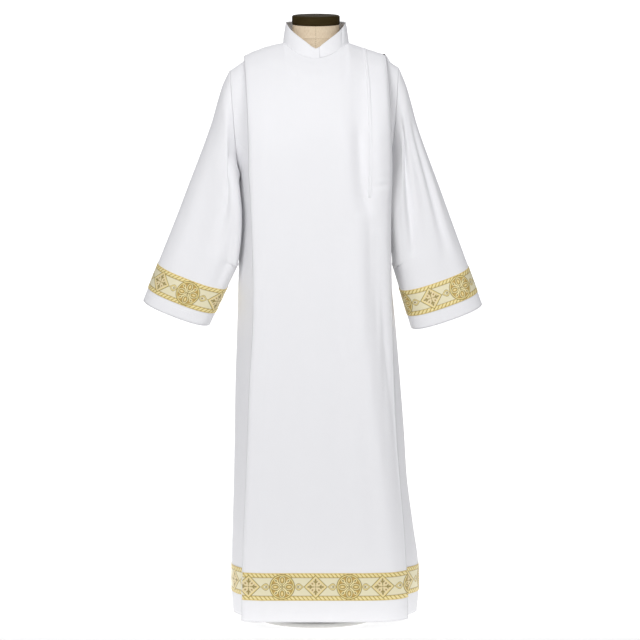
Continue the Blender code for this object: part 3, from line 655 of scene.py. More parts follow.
# White polyester cotton: a plain weave with threads about 0.35 mm apart, drawn at 1 mm so that they
# show, pressed, with faint soft rumples and a little sheen.
cotton = new_material("white_polycotton")
tree = cotton.node_tree
cut = add_node(tree, "ShaderNodeUVMap", {"uv_map": "cut"}).outputs["UV"]
warp = add_node(tree, "ShaderNodeTexWave", {"bands_direction": "X"}, Vector=cut, Scale=314.0)
weft = add_node(tree, "ShaderNodeTexWave", {"bands_direction": "Y"}, Vector=cut, Scale=314.0)
threads = add_node(
    tree, "ShaderNodeMath", {"operation": "MULTIPLY"}, i0=warp.outputs["Fac"], i1=weft.outputs["Fac"]
)
rumple = add_node(tree, "ShaderNodeTexNoise", Vector=cut, Scale=22.0, Detail=3.0, Roughness=0.45)
soft = add_node(tree, "ShaderNodeBump", Height=rumple.outputs["Fac"], Strength=0.35, Distance=0.003)
weave = add_node(
    tree, "ShaderNodeBump", Height=threads.outputs[0], Strength=0.25, Distance=0.0002,
    Normal=soft.outputs["Normal"],
)
shader = add_node(
    tree, "ShaderNodeBsdfPrincipled", Base_Color=srgb("F1F1F3"), Roughness=0.85, Sheen_Weight=0.12,
    Sheen_Roughness=0.5, Normal=weave.outputs["Normal"],
)
finish_material(cotton, shader)

CLOTH_SPACING = 6.0
CLOTH_OUT = 0.5
CLOTH_WALL = 1.2
BACK_SHOULDER_COLUMNS = 8
BACK_NECK_COLUMNS = 10
BACK_COLUMNS = 2 * BACK_SHOULDER_COLUMNS + BACK_NECK_COLUMNS
BACK_FOLD_WIDTH = 17.0
BACK_FOLD_FADE = 0.7
BackFold = namedtuple("BackFold", "hem top depth")
BACK_FOLDS = [BackFold(-120, -70, 9), BackFold(-45, -28, 7), BackFold(38, 24, 7), BackFold(125, 72, 9)]


def back_grid():
    rows = []
    for level in LEVELS:
        up = (level.z - LEVELS[0].z) / (LEVELS[-1].z - LEVELS[0].z)
        points = []
        for index in range(BACK_COLUMNS + 1):
            turn = pi * index / BACK_COLUMNS
            width = level.side_l if cos(turn) > 0 else -level.side_r
            x = width * np.sign(cos(turn)) * abs(cos(turn)) ** (2 / SECTION_POWER)
            y = level.back * section_depth(x, width)
            for fold in BACK_FOLDS:
                middle = fold.hem + (fold.top - fold.hem) * up
                y -= fold.depth * (1 - BACK_FOLD_FADE * up) * bump(x, middle, BACK_FOLD_WIDTH)
            points.append(np.array((x, max(y, 0) + SEAM_GAP / 2, level.z)))
        rows.append(points)
    feet = rows[-1]
    count = BACK_SHOULDER_COLUMNS
    left, right = armhole_column(1, False), armhole_column(-1, False)
    tops = shoulder_points(SEAMS[1].x_top - SEAM_GAP, NECK_X, count, SEAM_GAP / 2, False)
    tops[0] = left[-1]
    columns = fill(left, [feet[count]] + rise(feet[count], tops[-1], BACKWARD), feet[: count + 1], tops)
    for index in range(1, BACK_NECK_COLUMNS):
        turn = pi * index / BACK_NECK_COLUMNS
        point = neckline(turn) + (0, SEAM_GAP / 2, 0)
        columns.append(rise(feet[len(columns)], point, neck_handle(turn, BACKWARD, NECK_BACK_FALL)))
    tops = shoulder_points(-NECK_X, -SEAMS[-1].x_top + SEAM_GAP, count, SEAM_GAP / 2, False)
    tops[-1] = right[-1]
    neck = [feet[-count - 1]] + rise(feet[-count - 1], tops[0], BACKWARD)
    columns += fill(neck, right, feet[-count - 1 :], tops)
    return np.concatenate([np.array(rows), np.array(columns).transpose(1, 0, 2)])


def edge_fade(count, reach, start=True):
    """1 over a row of points, falling to 0 at the ends, so that seams stay where they meet."""
    index = np.arange(count)
    fade = (count - 1 - index) / reach
    if start:
        fade = np.minimum(fade, index / reach)
    return np.clip(fade, 0, 1)


def add_cloth(name, grid, node, closed=False):
    piece = add_grid(name, grid + normals_of(grid, closed) * CLOTH_OUT, cotton, closed, wall=CLOTH_WALL)
    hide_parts(*node)
    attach(piece, "root")
    return piece


back, back_row, _ = refine(back_grid(), CLOTH_SPACING)
BACK_SOFT = [
    LongFold([(40, -160), (500, -140), (1150, -105)], 13, 4.0),
    LongFold([(40, -85), (600, -66), (1200, -50)], 11, 3.0),
    LongFold([(120, -8), (700, -2), (1100, 4)], 12, 2.5),
    LongFold([(40, 84), (520, 74), (1180, 52)], 12, 3.5),
    LongFold([(60, 175), (600, 140), (1120, 112)], 13, 4.0),
]
BACK_WRINKLES = [
    Wrinkle(-150, 1180, -70, 1215, 9, 2.0), Wrinkle(150, 1175, 80, 1205, 9, 1.8),
    Wrinkle(-165, 1110, -90, 1090, 10, 1.6), Wrinkle(160, 1095, 100, 1110, 9, 1.5),
]
height = fold_height(back[..., 0], back[..., 2], BACK_SOFT, BACK_WRINKLES)
height *= edge_fade(back.shape[1], 8)[None] * edge_fade(back.shape[0], 10, start=False)[:, None]
back = back + normals_of(back) * height[..., None]
add_cloth("back_panel", back, ["back"])

# Under front. The narrow panel of the same cloth beneath the free edge, seamed to the left side and
# sleeve. Only its outer strip shows.
UNDER_LAP = 45.0
UNDER_STEP = 22.0
UNDER_COLUMNS = 8
UNDER_SHOULDER = 140.0
# At the shoulder it is drawn up against the back, a little below the back's edge.
UNDER_RISE = 0.6
UNDER_BELOW = 1.4


def under_grid():
    rows = []
    for level in LEVELS:
        start = level.edge - UNDER_LAP
        points = []
        for index in range(UNDER_COLUMNS + 1):
            x = start + (level.side_l - start) * sin(pi / 2 * index / UNDER_COLUMNS)
            y = -(level.front - UNDER_STEP) * section_depth(x, level.side_l)
            points.append(np.array((x, y - SEAM_GAP / 2, level.z)))
        rows.append(points)
    feet = rows[-1]
    seam = armhole_column(1, True)
    tops = shoulder_points(UNDER_SHOULDER, SEAMS[1].x_top - SEAM_GAP, UNDER_COLUMNS, -SEAM_GAP / 2, True)
    tops[-1] = seam[-1]
    hidden = [feet[0]] + rise(feet[0], tops[0], FORWARD)
    columns = fill(hidden, seam, feet, tops)
    return np.concatenate([np.array(rows), np.array(columns).transpose(1, 0, 2)])


under, under_row, under_column = refine(under_grid(), CLOTH_SPACING)
risen = under[-1].copy()
back_edge = np.interp(under[-1, :, 0], back[-1, ::-1, 0], back[-1, ::-1, 2])
risen[:, 2] = np.maximum(under[-1, :, 2] + UNDER_RISE, back_edge - UNDER_BELOW)
UNDER_SOFT = [LongFold([(60, 228), (400, 206), (900, 168)], 8, 2.5)]
height = fold_height(under[..., 0], under[..., 2], UNDER_SOFT)
height *= edge_fade(under.shape[1], 5)[None] * edge_fade(under.shape[0], 10, start=False)[:, None]
under = under + normals_of(under) * height[..., None]
under = np.concatenate([under, [under[-1] * 0.5 + risen * 0.5, risen]])
add_cloth("under_front_panel", under, ["under_front"])

# Front wrap. The main panel, cut in one from the same cloth: a knife pleat pressed by the wearer's
# right side, a pressed ridge beside it, and a hemmed free edge that ends by the left armhole.
PLEAT_STEP = 15.0
PLEAT_UNDER = 15.0
TURN = 3.0
SIDE_COLUMNS = 5
SHOULDER_COLUMNS = 6
NECK_COLUMNS = 12
VALLEY_WIDTH = 15.0
EDGE_SPREAD = 1.12
FLAT_POWER = 6.5
PLEAT_POWER = 6.5
PLEAT_SPREAD = 1.1
EDGE_STAND = 0.4
# At the shoulder the free edge ends this far short of the step.
EDGE_SHORT = 3.0
# How far the pleat's crease and its hidden side lie behind the front layer, or below it at the shoulder.
CREASE_DEEP = 1.2
PLEAT_DEEP = 3.2
# A low swell lies beside the valley, towards the centre.
SWELL_SHARE = 0.3
SWELL_ASIDE = 30


def front_depth(x, level):
    """y of the wrap's front layer."""
    if x < 0:
        y = -level.front * section_depth(x, level.side_r * PLEAT_SPREAD, PLEAT_POWER)
    else:
        y = -level.front * section_depth(x, level.edge * EDGE_SPREAD, FLAT_POWER)
    y += level.trough * bump(x, level.valley, VALLEY_WIDTH)
    return y - SWELL_SHARE * level.trough * bump(x, level.valley - SWELL_ASIDE, VALLEY_WIDTH)


def side_run(start, side, depth):
    """Section points from start out to a side seam, closer together where it turns."""
    points = []
    for index in range(SIDE_COLUMNS + 1):
        x = start + (side - start) * sin(pi / 2 * index / SIDE_COLUMNS)
        points.append((x, -depth * section_depth(x, abs(side)) - SEAM_GAP / 2))
    return points


def wrap_section(level):
    """Section of the wrap from the right side seam through the pleat to the free edge."""
    fold_y = front_depth(level.fold, level)
    inner = level.fold + PLEAT_UNDER
    run = side_run(inner, level.side_r, level.front - PLEAT_STEP)[::-1]
    inner_y = run[-1][1]
    turn = [(inner + TURN, inner_y - TURN), (inner, inner_y - 2 * TURN)]
    crease = [(level.fold + TURN, fold_y + PLEAT_DEEP), (level.fold, fold_y + CREASE_DEEP)]
    columns = 2 * SHOULDER_COLUMNS + NECK_COLUMNS
    start = level.fold + 2
    across = [start + (level.edge - start) * index / columns for index in range(columns + 1)]
    front = [(x, front_depth(x, level)) for x in across]
    return [np.array((x, y, level.z)) for x, y in run + turn + crease + front]


def front_tops():
    """Where the wrap's front columns end: shoulder, neckline, shoulder, with a handle for each."""
    tops = []
    for index in range(SHOULDER_COLUMNS):
        x = -STEP_X + (STEP_X - NECK_X) * index / SHOULDER_COLUMNS
        tops.append((np.array((x, -SEAM_GAP / 2, shoulder_z(x))), FORWARD))
    for index in range(NECK_COLUMNS + 1):
        turn = pi + pi * index / NECK_COLUMNS
        tops.append((neckline(turn) - (0, SEAM_GAP / 2, 0), neck_handle(turn, FORWARD, NECK_FRONT_FALL)))
    for index in range(1, SHOULDER_COLUMNS + 1):
        x = NECK_X + (STEP_X - EDGE_SHORT - NECK_X) * index / SHOULDER_COLUMNS
        ahead = FORWARD * (1, 1 + EDGE_STAND * index / SHOULDER_COLUMNS, 1)
        tops.append((np.array((x, -SEAM_GAP / 2, shoulder_z(x))), ahead))
    return tops


def wrap_grid():
    sections = np.array([wrap_section(level) for level in LEVELS])
    feet = sections[-1]
    seam = armhole_column(-1, True)
    start = -SEAMS[-1].x_top + SEAM_GAP
    tops = shoulder_points(start, -STEP_X + PLEAT_UNDER, SIDE_COLUMNS, -SEAM_GAP / 2, True)
    inner = [feet[SIDE_COLUMNS]] + rise(feet[SIDE_COLUMNS], tops[-1], FORWARD)
    columns = fill(seam, inner, feet[: SIDE_COLUMNS + 1], tops)
    inner_z = shoulder_z(-STEP_X + PLEAT_UNDER, True)
    for x, z in (
        (-STEP_X + PLEAT_UNDER + TURN, inner_z + TURN), (-STEP_X + PLEAT_UNDER, inner_z + 2 * TURN),
        (-STEP_X + 1, shoulder_z(STEP_X) - PLEAT_DEEP), (-STEP_X - 2, shoulder_z(STEP_X) - CREASE_DEEP),
    ):
        columns.append(rise(feet[len(columns)], np.array((x, -SEAM_GAP / 2, z)), FORWARD))
    for top, ahead in front_tops():
        columns.append(rise(feet[len(columns)], top, ahead))
    return np.concatenate([sections, np.array(columns).transpose(1, 0, 2)])


WRAP_FIRST = SIDE_COLUMNS + 5
wrap, wrap_row, wrap_column = refine(wrap_grid(), CLOTH_SPACING)
WRAP_SOFT = [
    LongFold([(240, 214), (342, 206), (464, 194), (583, 176), (763, 152), (1000, 138)], 14, 7.0),
    LongFold([(60, -30), (420, -38), (900, -44)], 30, 1.6),
    LongFold([(80, 60), (500, 58), (980, 46)], 26, 1.8),
    LongFold([(60, 150), (300, 128), (640, 98)], 22, 2.2),
    LongFold([(960, 114), (1080, 108), (1180, 105), (1310, 100)], 18, 13),
    LongFold([(560, 170), (800, 160), (1000, 150)], 9, 1.8),
]
WRAP_WRINKLES = [
    Wrinkle(104, 1034, 126, 1008, 5, 2.0), Wrinkle(96, 1018, 124, 990, 5, 1.4),
    Wrinkle(136, 1028, 170, 1040, 6, 2.2), Wrinkle(140, 1046, 172, 1058, 6, 1.4),
    Wrinkle(-110, 1150, -60, 1165, 12, 1.2),
]
# The pressed ridge: how high it is, how it falls off towards the centre, and the hollow strip between
# it and the pleat.
RIDGE_HEIGHT = 2.6
RIDGE_FALL = 9
RIDGE_REACH = 90
STRIP_WIDTH = 50
STRIP_SLOPE = 0.14
STRIP_HOLLOW = 0.0035
# The free edge stands away from the chest: from which x and z, over how much, and how far.
STAND_X = 118
STAND_OVER_X = 52
STAND_MOST = 1.2
STAND_Z = 880
STAND_OVER_Z = 140
STAND_SLOPE = 4
STAND_CURL = 5
# The soft folds start beside the pleat, over this share of a coarse column.
PLEAT_FADE = 0.6
# The chest is eased smooth above RELAX_Z and inside RELAX_X.
RELAX_Z = 1150
RELAX_OVER_Z = 80
RELAX_X = 170
RELAX_OVER_X = 20
RELAX_TIMES = 40
RELAX_SHARE = 0.8
height = fold_height(wrap[..., 0], wrap[..., 2], WRAP_SOFT, WRAP_WRINKLES)
ridge_z = np.clip(wrap[:, -1, 2], LEVELS[0].z, LEVELS[-1].z)
ridge_x = smooth([level.z for level in LEVELS], [level.ridge for level in LEVELS], ridge_z)
ridge_off = wrap[..., 0] - ridge_x[:, None]
strip = np.clip(-ridge_off, 0, STRIP_WIDTH)
height += (
    RIDGE_HEIGHT * np.exp(-np.clip(ridge_off, 0, RIDGE_REACH) / RIDGE_FALL)
    - STRIP_SLOPE * strip + STRIP_HOLLOW * strip**2
)
beyond = np.clip((wrap[..., 0] - STAND_X) / STAND_OVER_X, 0, STAND_MOST)
beyond *= np.clip((wrap[..., 2] - STAND_Z) / STAND_OVER_Z, 0, 1)
height += STAND_SLOPE * beyond + STAND_CURL * beyond**2
front_only = np.clip((wrap_column - WRAP_FIRST) / PLEAT_FADE, 0, 1)
front_only *= edge_fade(len(wrap_column), 4, start=False)
height *= front_only[None] * edge_fade(wrap.shape[0], 9, start=False)[:, None]
wrap = wrap + normals_of(wrap) * height[..., None]
relaxed = np.clip((wrap[..., 2] - RELAX_Z) / RELAX_OVER_Z, 0, 1)
relaxed *= np.clip((RELAX_X - np.abs(wrap[..., 0])) / RELAX_OVER_X, 0, 1)
relaxed *= front_only[None] * edge_fade(wrap.shape[0], 3, start=False)[:, None]
for _ in range(RELAX_TIMES):
    eased = (wrap[1:-1, :-2] + wrap[1:-1, 2:] + wrap[:-2, 1:-1] + wrap[2:, 1:-1]) / 4 - wrap[1:-1, 1:-1]
    wrap[1:-1, 1:-1, 1] += eased[..., 1] * relaxed[1:-1, 1:-1] * RELAX_SHARE
add_cloth("front_wrap_panel", wrap, ["front_wrap"])

# Sleeves. Each is one wide tube of the same cloth, sewn into its armhole. It widens down to the cuff
# and hangs in a few soft folds.
SLEEVE_ROWS = [0, 0.03, 0.08, 0.15, 0.23, 0.31, 0.39, 0.47, 0.55, 0.62]
# The rows of the cuff: how far up from its edge each lies, and at which t.
CUFF_ROWS = [155.0, 96.5, 64.75, 33.0, 0.0]
CUFF_TS = [0.72, 0.84, 0.89, 0.945, 1.0]
# The folds grow in over this much of t below the armhole seam.
TROUGH_START = 0.045
# A sleeve's trough: its place round the ring in degrees from the outer fold over the front, at its
# upper and lower end, from and to which t, how wide in degrees and how deep. A negative depth swells
# outwards, which rolls the inner front towards the body.
Trough = namedtuple("Trough", "start_turn end_turn start end width depth")
SLEEVE_TROUGHS = {
    -1: [
        Trough(118, 108, 0.02, 0.62, 7, 3.5), Trough(142, 134, 0.3, 0.9, 11, 6),
        Trough(76, 84, 0.3, 0.9, 12, 3), Trough(150, 155, -0.2, 0.68, 22, -16),
        Trough(155, 152, 0.02, 0.3, 8, 2.5), Trough(255, 250, 0.1, 0.95, 14, 7),
        Trough(212, 220, 0.2, 0.9, 12, 5), Trough(300, 296, 0.15, 0.7, 12, 3.5),
    ],
    1: [
        Trough(82, 110, 0.02, 0.66, 7, 8), Trough(44, 64, 0.16, 0.74, 7, 6),
        Trough(147, 152, -0.2, 0.66, 23, -14), Trough(66, 72, 0.4, 0.95, 12, 2.5),
        Trough(255, 262, 0.1, 0.95, 14, 7), Trough(215, 222, 0.2, 0.9, 12, 5),
        Trough(298, 304, 0.15, 0.7, 12, 3.5), Trough(124, 122, -0.2, 0.6, 20, -7),
        Trough(140, 138, -0.25, 0.6, 12, -6), Trough(156, 160, 0.34, 0.74, 22, -4),
    ],
}


def facing_out(grid):
    """The ring grid itself, or its rows in reverse, so that its faces look outwards."""
    centre = grid.mean(axis=1, keepdims=True)
    return grid if ((grid - centre) * normals_of(grid, True)).sum() > 0 else grid[::-1]


def sleeve_grid(side):
    """A sleeve's fine grid from armhole to cuff, and the coarse row of each of its rows."""
    rows = [sleeve_ring(side, t) for t in SLEEVE_ROWS]
    cuff = sleeve_ring(side, 1)
    climb = unit(rows[-1] - cuff)
    rows += [cuff + climb * rise_by for rise_by in CUFF_ROWS]
    grid, row_at, column_at = refine(np.array(rows), CLOTH_SPACING, closed=True)
    ts = np.interp(row_at, range(len(rows)), SLEEVE_ROWS + CUFF_TS)
    turns = 360 * column_at / RING_POINTS
    height = np.zeros(grid.shape[:2])
    for trough in SLEEVE_TROUGHS[side]:
        along = np.clip((ts - trough.start) / (trough.end - trough.start), 0, 1)
        middle = trough.start_turn + (trough.end_turn - trough.start_turn) * along
        off = (turns[None] - middle[:, None]) / trough.width
        fade = np.sin(pi * along) ** CREASE_FADE * np.clip(ts / TROUGH_START, 0, 1)
        height += trough.depth * fade[:, None] * hollow(off, TROUGH_SWELL)
    out = normals_of(grid, True)
    if ((grid - grid.mean(axis=1, keepdims=True)) * out).sum() < 0:
        out = -out
    return grid + out * height[..., None], row_at


sleeves = {}
for side, name in ((-1, "right"), (1, "left")):
    grid, row_at = sleeve_grid(side)
    sleeves[side] = (grid, row_at)
    add_cloth(f"sleeve_{name}_tube", facing_out(grid), [f"sleeve_{name}"], True)

# Collar. A stand band of two layers with stiffening between, sewn into the neckline, lapped at the
# centre front, and top-stitched near both edges.
COLLAR_POINTS = 40
COLLAR_FRONT_Z = 1363.0
COLLAR_SIDE_Z = 1438.0
COLLAR_BACK_RISE = 14.0
COLLAR_STRAIGHT = 0.8
COLLAR_CORNER = 8
COLLAR_LEAN = 0.905
COLLAR_LAP = radians(7)
COLLAR_LAP_OUT = 2.6
COLLAR_LAP_FROM = 0.85
COLLAR_TUCKED = 1.0
COLLAR_TUCKED_AHEAD = 0.6
COLLAR_BACK_ROUND = 0.6
COLLAR_SPACING = 2.5
COLLAR_WALL = 1.7
COLLAR_OUT = 0.7
# The rows of top stitching pull the cloth in, and the turned upper edge is a little thicker. Places
# and widths are in coarse rows, of which the band has two.
COLLAR_SEWN = (0.24, 1.84)
SEWN_PULL = 0.7
SEWN_WIDTH = 0.05
EDGE_BEAD = 0.5
EDGE_BEAD_WIDTH = 0.1
# A slanting crease on the wearer's left, and the outer end of the lap, which is drawn back in. In
# coarse columns.
COLLAR_CREASE_AT = 6.2
COLLAR_CREASE_SLANT = 0.5
COLLAR_CREASE_WIDTH = 0.35
COLLAR_CREASE_DEEP = 1.6
COLLAR_END = 1.2
COLLAR_END_DEEP = 1.6


def collar_grid():
    """The stand band, from its inner end at the centre front round the neck to its outer end."""
    rows = []
    for share in (0.0, 0.5, 1.0):
        row = []
        for index in range(COLLAR_POINTS + 1):
            turn = -pi / 2 - COLLAR_LAP + (2 * pi + 2 * COLLAR_LAP) * index / COLLAR_POINTS
            base = neckline(turn)
            ahead = max(-sin(turn), 0)
            out = COLLAR_LAP_OUT * max(0.0, (index / COLLAR_POINTS - COLLAR_LAP_FROM) / (1 - COLLAR_LAP_FROM))
            lean = 1 - (1 - COLLAR_LEAN) * share
            aside = abs(cos(turn))
            climb = COLLAR_STRAIGHT * aside + (1 - COLLAR_STRAIGHT) * aside**COLLAR_CORNER
            edge_z = COLLAR_FRONT_Z + (COLLAR_SIDE_Z - COLLAR_FRONT_Z) * climb
            if sin(turn) > 0:
                edge_z = COLLAR_SIDE_Z + COLLAR_BACK_RISE * sin(turn) ** COLLAR_BACK_ROUND
            low_z = base[2] - COLLAR_TUCKED * (1 + COLLAR_TUCKED_AHEAD * ahead)
            point = np.array((NECK_X * lean * cos(turn), base[1] * lean, low_z + (edge_z - low_z) * share))
            row.append(point + out * np.array((cos(turn), sin(turn), 0)))
        rows.append(row)
    return np.array(rows)


collar, collar_row, collar_column = refine(collar_grid(), COLLAR_SPACING)
off_sewn = np.minimum(*(np.abs(collar_row - sewn_at) for sewn_at in COLLAR_SEWN))
height = -SEWN_PULL * np.exp(-((off_sewn / SEWN_WIDTH) ** 2))
height += EDGE_BEAD * np.exp(-(((collar_row - 2) / EDGE_BEAD_WIDTH) ** 2))
off_crease = collar_column[None] - COLLAR_CREASE_AT - COLLAR_CREASE_SLANT * collar_row[:, None]
crease = np.exp(-((off_crease / COLLAR_CREASE_WIDTH) ** 2))
taper = np.clip((collar_column - (COLLAR_POINTS - COLLAR_END)) / COLLAR_END, 0, 1)
height = height[:, None] - COLLAR_CREASE_DEEP * crease * np.clip(collar_row[:, None], 0, 1)
height = height - COLLAR_END_DEEP * taper[None]
collar = collar + normals_of(collar) * height[..., None]
piece = add_grid("stand_collar", collar + normals_of(collar) * COLLAR_OUT, cotton, wall=COLLAR_WALL)
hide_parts("collar")
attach(piece, "root")

# Tuck. A narrow fold stitched down on the left of the front, from the shoulder to a square end at
# chest height, below which the cloth is let go.
TUCK_COLUMN = 20
TUCK_SHIFT = 5.0
TUCK_WIDTH = 8.0
TUCK_RAISE = 1.9
TUCK_START = 5.0
TUCK_LIFT = 0.1
TUCK_SPACING = 3.0
TUCK_WALL = 0.5
# Across the tuck: the share of its width, and of its height.
TUCK_PROFILE = [
    (0.0, 0.0), (0.07, 0.55), (0.2, 0.9), (0.38, 1.0), (0.56, 0.93), (0.76, 0.62), (0.9, 0.25), (1.0, 0.0),
]


def tuck_grid():
    number = WRAP_FIRST + TUCK_COLUMN
    low = np.searchsorted(wrap_row, len(LEVELS) - 2 - 0.01)
    column = np.argmin(np.abs(wrap_column - number))
    middle = wrap[low:-1, column]
    across = unit(wrap[low:-1, column + 1] - middle)
    out = normals_of(wrap)[low:-1, column]
    shift = np.linspace(0, TUCK_SHIFT, len(middle))[:, None]
    started = np.clip((middle[:, 2:] - middle[0, 2]) / TUCK_START, 0, 1) ** 0.5
    strips = []
    for share, raised in TUCK_PROFILE:
        spot = middle + across * (shift + TUCK_WIDTH * share)
        strips.append(spot + out * (CLOTH_OUT + TUCK_LIFT + TUCK_RAISE * raised * started))
    return np.stack(strips, axis=1)


tuck, _, tuck_column = refine(tuck_grid(), TUCK_SPACING)
piece = add_grid("shoulder_tuck_fold", tuck, cotton, wall=TUCK_WALL)
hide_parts("shoulder_tuck")
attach(piece, "root")

# Galloon bands. A 63.5 mm ribbon woven in gold and cream rayon thread, sewn flat round the hem and
# both cuffs: rope borders, and diamonds and roundels in turn with a small loop between them.
BAND_SPACING = 1.0
BAND_WALL = 0.8
BAND_OUT = 0.85
BAND_WIDTH = 63.5
REPEAT = 152.4
ROPE_MIDDLE = 25.8
ROPE_HALF = 4.9
ROPE_PITCH = REPEAT / 16
MOTIF = 27.2
LOOP = 20.4
CREAM = np.array(srgb("F5EDCA")[:3])
PALE = np.array(srgb("FDF0B8")[:3])
LIGHT_GOLD = np.array(srgb("F8E49A")[:3])
GOLD = np.array(srgb("DDBC68")[:3])
DEEP_GOLD = np.array(srgb("CDAA5C")[:3])
OLIVE = np.array(srgb("8C7636")[:3])
MOSS = np.array(srgb("A08E4C")[:3])
BRONZE = np.array(srgb("B4975A")[:3])
STRAW = np.array(srgb("F4E3B4")[:3])
BAND_RELIEF = 0.35
RIB_PITCH = 2.5
DIAGONAL = 0.707
# What is woven one over another in a loop, a diamond and a roundel: how far out it lies, half the
# length and width of a leaf, its thread, and how high it stands.
Woven = namedtuple("Woven", "out thread level")
Leaf = namedtuple("Leaf", "out long wide thread level")
LOOP_BANDS = [
    Woven(0.5, OLIVE, 0.7), Woven(-0.7, LIGHT_GOLD, 0.9), Woven(-3.1, OLIVE, 0.5),
    Woven(-4.0, CREAM, 0.3),
]
DIAMOND_BANDS = [Woven(0, OLIVE, 0.8), Woven(-1.4, LIGHT_GOLD, 0.9), Woven(-3.4, STRAW, 0.35)]
DIAMOND_LEAVES = [Leaf(8.5, 6.5, 1.1, MOSS, 0.8), Leaf(15.2, 3.8, 2.0, MOSS, 1.0)]
ROUNDEL_BANDS = [
    Woven(29.0, OLIVE, 0.7), Woven(27.4, LIGHT_GOLD, 0.9), Woven(24.9, OLIVE, 0.6),
    Woven(23.7, DEEP_GOLD, 0.7),
]
ROUNDEL_SLANTED = [
    Leaf(9.0, 10.0, 3.4, OLIVE, 0.6), Leaf(9.0, 9.0, 2.0, PALE, 1.0), Leaf(19.4, 4.8, 3.6, PALE, 0.8),
    Leaf(19.6, 2.6, 1.6, OLIVE, 0.8),
]
ROUNDEL_UPRIGHT = [
    Leaf(15.0, 10.6, 8.0, OLIVE, 0.6), Leaf(15.0, 9.5, 6.9, PALE, 1.0), Leaf(15.2, 7.5, 4.9, OLIVE, 0.7),
    Leaf(15.4, 6.2, 3.4, GOLD, 0.9), Leaf(15.6, 3.8, 1.3, PALE, 1.0),
]


def soft_step(distance, edge=0.7):
    """1 inside a shape, where the distance to its outline is negative, falling to 0 outside it."""
    return np.clip(0.5 - distance / edge, 0, 1)


def galloon(s, t):
    """Colour and height of the woven pattern at s along the ribbon and t across it, with a painted highlight
    on each rope bead and painted shade along the weft ribs.
    """
    s, t = np.broadcast_arrays(s, t)
    colour = np.empty(s.shape + (3,))
    colour[:] = CREAM
    height = np.zeros(s.shape)

    def paint(distance, thread, level, edge=0.7):
        nonlocal colour, height
        mask = soft_step(distance, edge)
        colour = colour * (1 - mask[..., None]) + thread * mask[..., None]
        height = height * (1 - mask) + level * mask

    def leaf(x, y, angle, long, wide):
        along = (x * cos(angle) + y * sin(angle)) / long
        across = (y * cos(angle) - x * sin(angle)) / wide
        return (np.hypot(along, across) - 1) * wide

    def paint_bands(distance, bands):
        for band in bands:
            paint(distance - band.out, band.thread, band.level)

    def paint_leaves(x, y, leaves):
        for one in leaves:
            paint(leaf(x - one.out, y, 0.0, one.long, one.wide), one.thread, one.level)

    def quarters(x, y):
        """x and y turned by each quarter turn."""
        for turn in range(4):
            angle = turn * pi / 2
            yield x * cos(angle) + y * sin(angle), y * cos(angle) - x * sin(angle)

    # Rope borders: slanting beads, each with a painted highlight in its pale centre, and a dark line inside.
    side = np.abs(t)
    lean = (side - ROPE_MIDDLE) * 0.9 * np.sign(t)
    bead = np.abs((s + lean) % ROPE_PITCH - ROPE_PITCH / 2)
    across = np.abs(side - ROPE_MIDDLE)
    paint(across - ROPE_HALF, GOLD, 0.3)
    paint(leaf(bead, across, 0.0, 4.4, 4.6), LIGHT_GOLD, 0.9, 1.6)
    # Painted highlight: the pale centre of each bead.
    paint(leaf(bead, across, 0.0, 2.2, 2.2), PALE, 1.0, 1.4)
    paint(np.maximum(ROPE_PITCH / 2 - bead - 0.7, across - 3.6), OLIVE, 0.3, 1.0)
    paint(np.abs(side - 20.8) - 0.5, OLIVE, 0.3)

    # The small loop between a diamond and a roundel.
    x = (s + REPEAT / 2) % REPEAT - REPEAT / 2
    loop = np.abs(x) - MOTIF
    bow = 7.9 * np.sin(pi * np.clip(loop / LOOP, 0, 1) ** 1.25)
    paint_bands(np.where((loop > 0) & (loop < LOOP), side - bow, 4.0), LOOP_BANDS)
    paint(leaf(loop - 12.6, t, 0.0, 2.4, 1.7), OLIVE, 0.8)

    # The diamond, with a sprig of leaves towards each corner.
    paint_bands((np.abs(x) + side - MOTIF) * DIAGONAL, DIAMOND_BANDS)
    for along, across in quarters(x, t):
        paint_leaves(along, across, DIAMOND_LEAVES)
        for sign in (-1, 1):
            paint(leaf(along - 11.4, across - sign * 2.6, sign * 0.75, 3.2, 1.3), MOSS, 0.9)
        paint(leaf(along - 7.4, across - 7.4, pi / 4, 2.4, 1.8), BRONZE, 0.9)
    paint(np.hypot(x, t) - 1.6, BRONZE, 1.0)

    # The roundel, with four broad petals and a narrow leaf between each two.
    x = s % REPEAT - REPEAT / 2
    radius = np.hypot(x, t)
    paint_bands(radius, ROUNDEL_BANDS)
    for along, across in quarters(x, t):
        paint_leaves((along + across) * DIAGONAL, (across - along) * DIAGONAL, ROUNDEL_SLANTED)
        paint_leaves(along, across, ROUNDEL_UPRIGHT)
    paint(radius - 1.5, OLIVE, 1.0)
    # Painted shade: faint darker bands across the ribbon, one for each weft rib, drawn coarser than the ribs
    # are woven.
    ribs = 0.5 + 0.5 * np.sin(2 * pi * s / RIB_PITCH)
    return colour * (0.94 + 0.06 * ribs[..., None]), height


# Rayon and metallic thread: the colours come from the woven pattern, with its painted highlights and painted
# shade, with fine ribs of weft every 0.8 mm and a soft silky gloss.
gold_thread = new_material("gold_thread_galloon")
tree = gold_thread.node_tree
cut = add_node(tree, "ShaderNodeUVMap", {"uv_map": "cut"}).outputs["UV"]
threads = add_node(tree, "ShaderNodeAttribute", {"attribute_name": "thread"})
weft = add_node(tree, "ShaderNodeTexWave", {"bands_direction": "X"}, Vector=cut, Scale=392.0, Distortion=0.8)
ribs = add_node(tree, "ShaderNodeBump", Height=weft.outputs["Fac"], Strength=0.35, Distance=0.0003)
shader = add_node(
    tree, "ShaderNodeBsdfPrincipled", Base_Color=threads.outputs["Color"], Metallic=0.2, Roughness=0.42,
    Sheen_Weight=0.1, Normal=ribs.outputs["Normal"],
)
finish_material(gold_thread, shader)


ribbon_edges = []


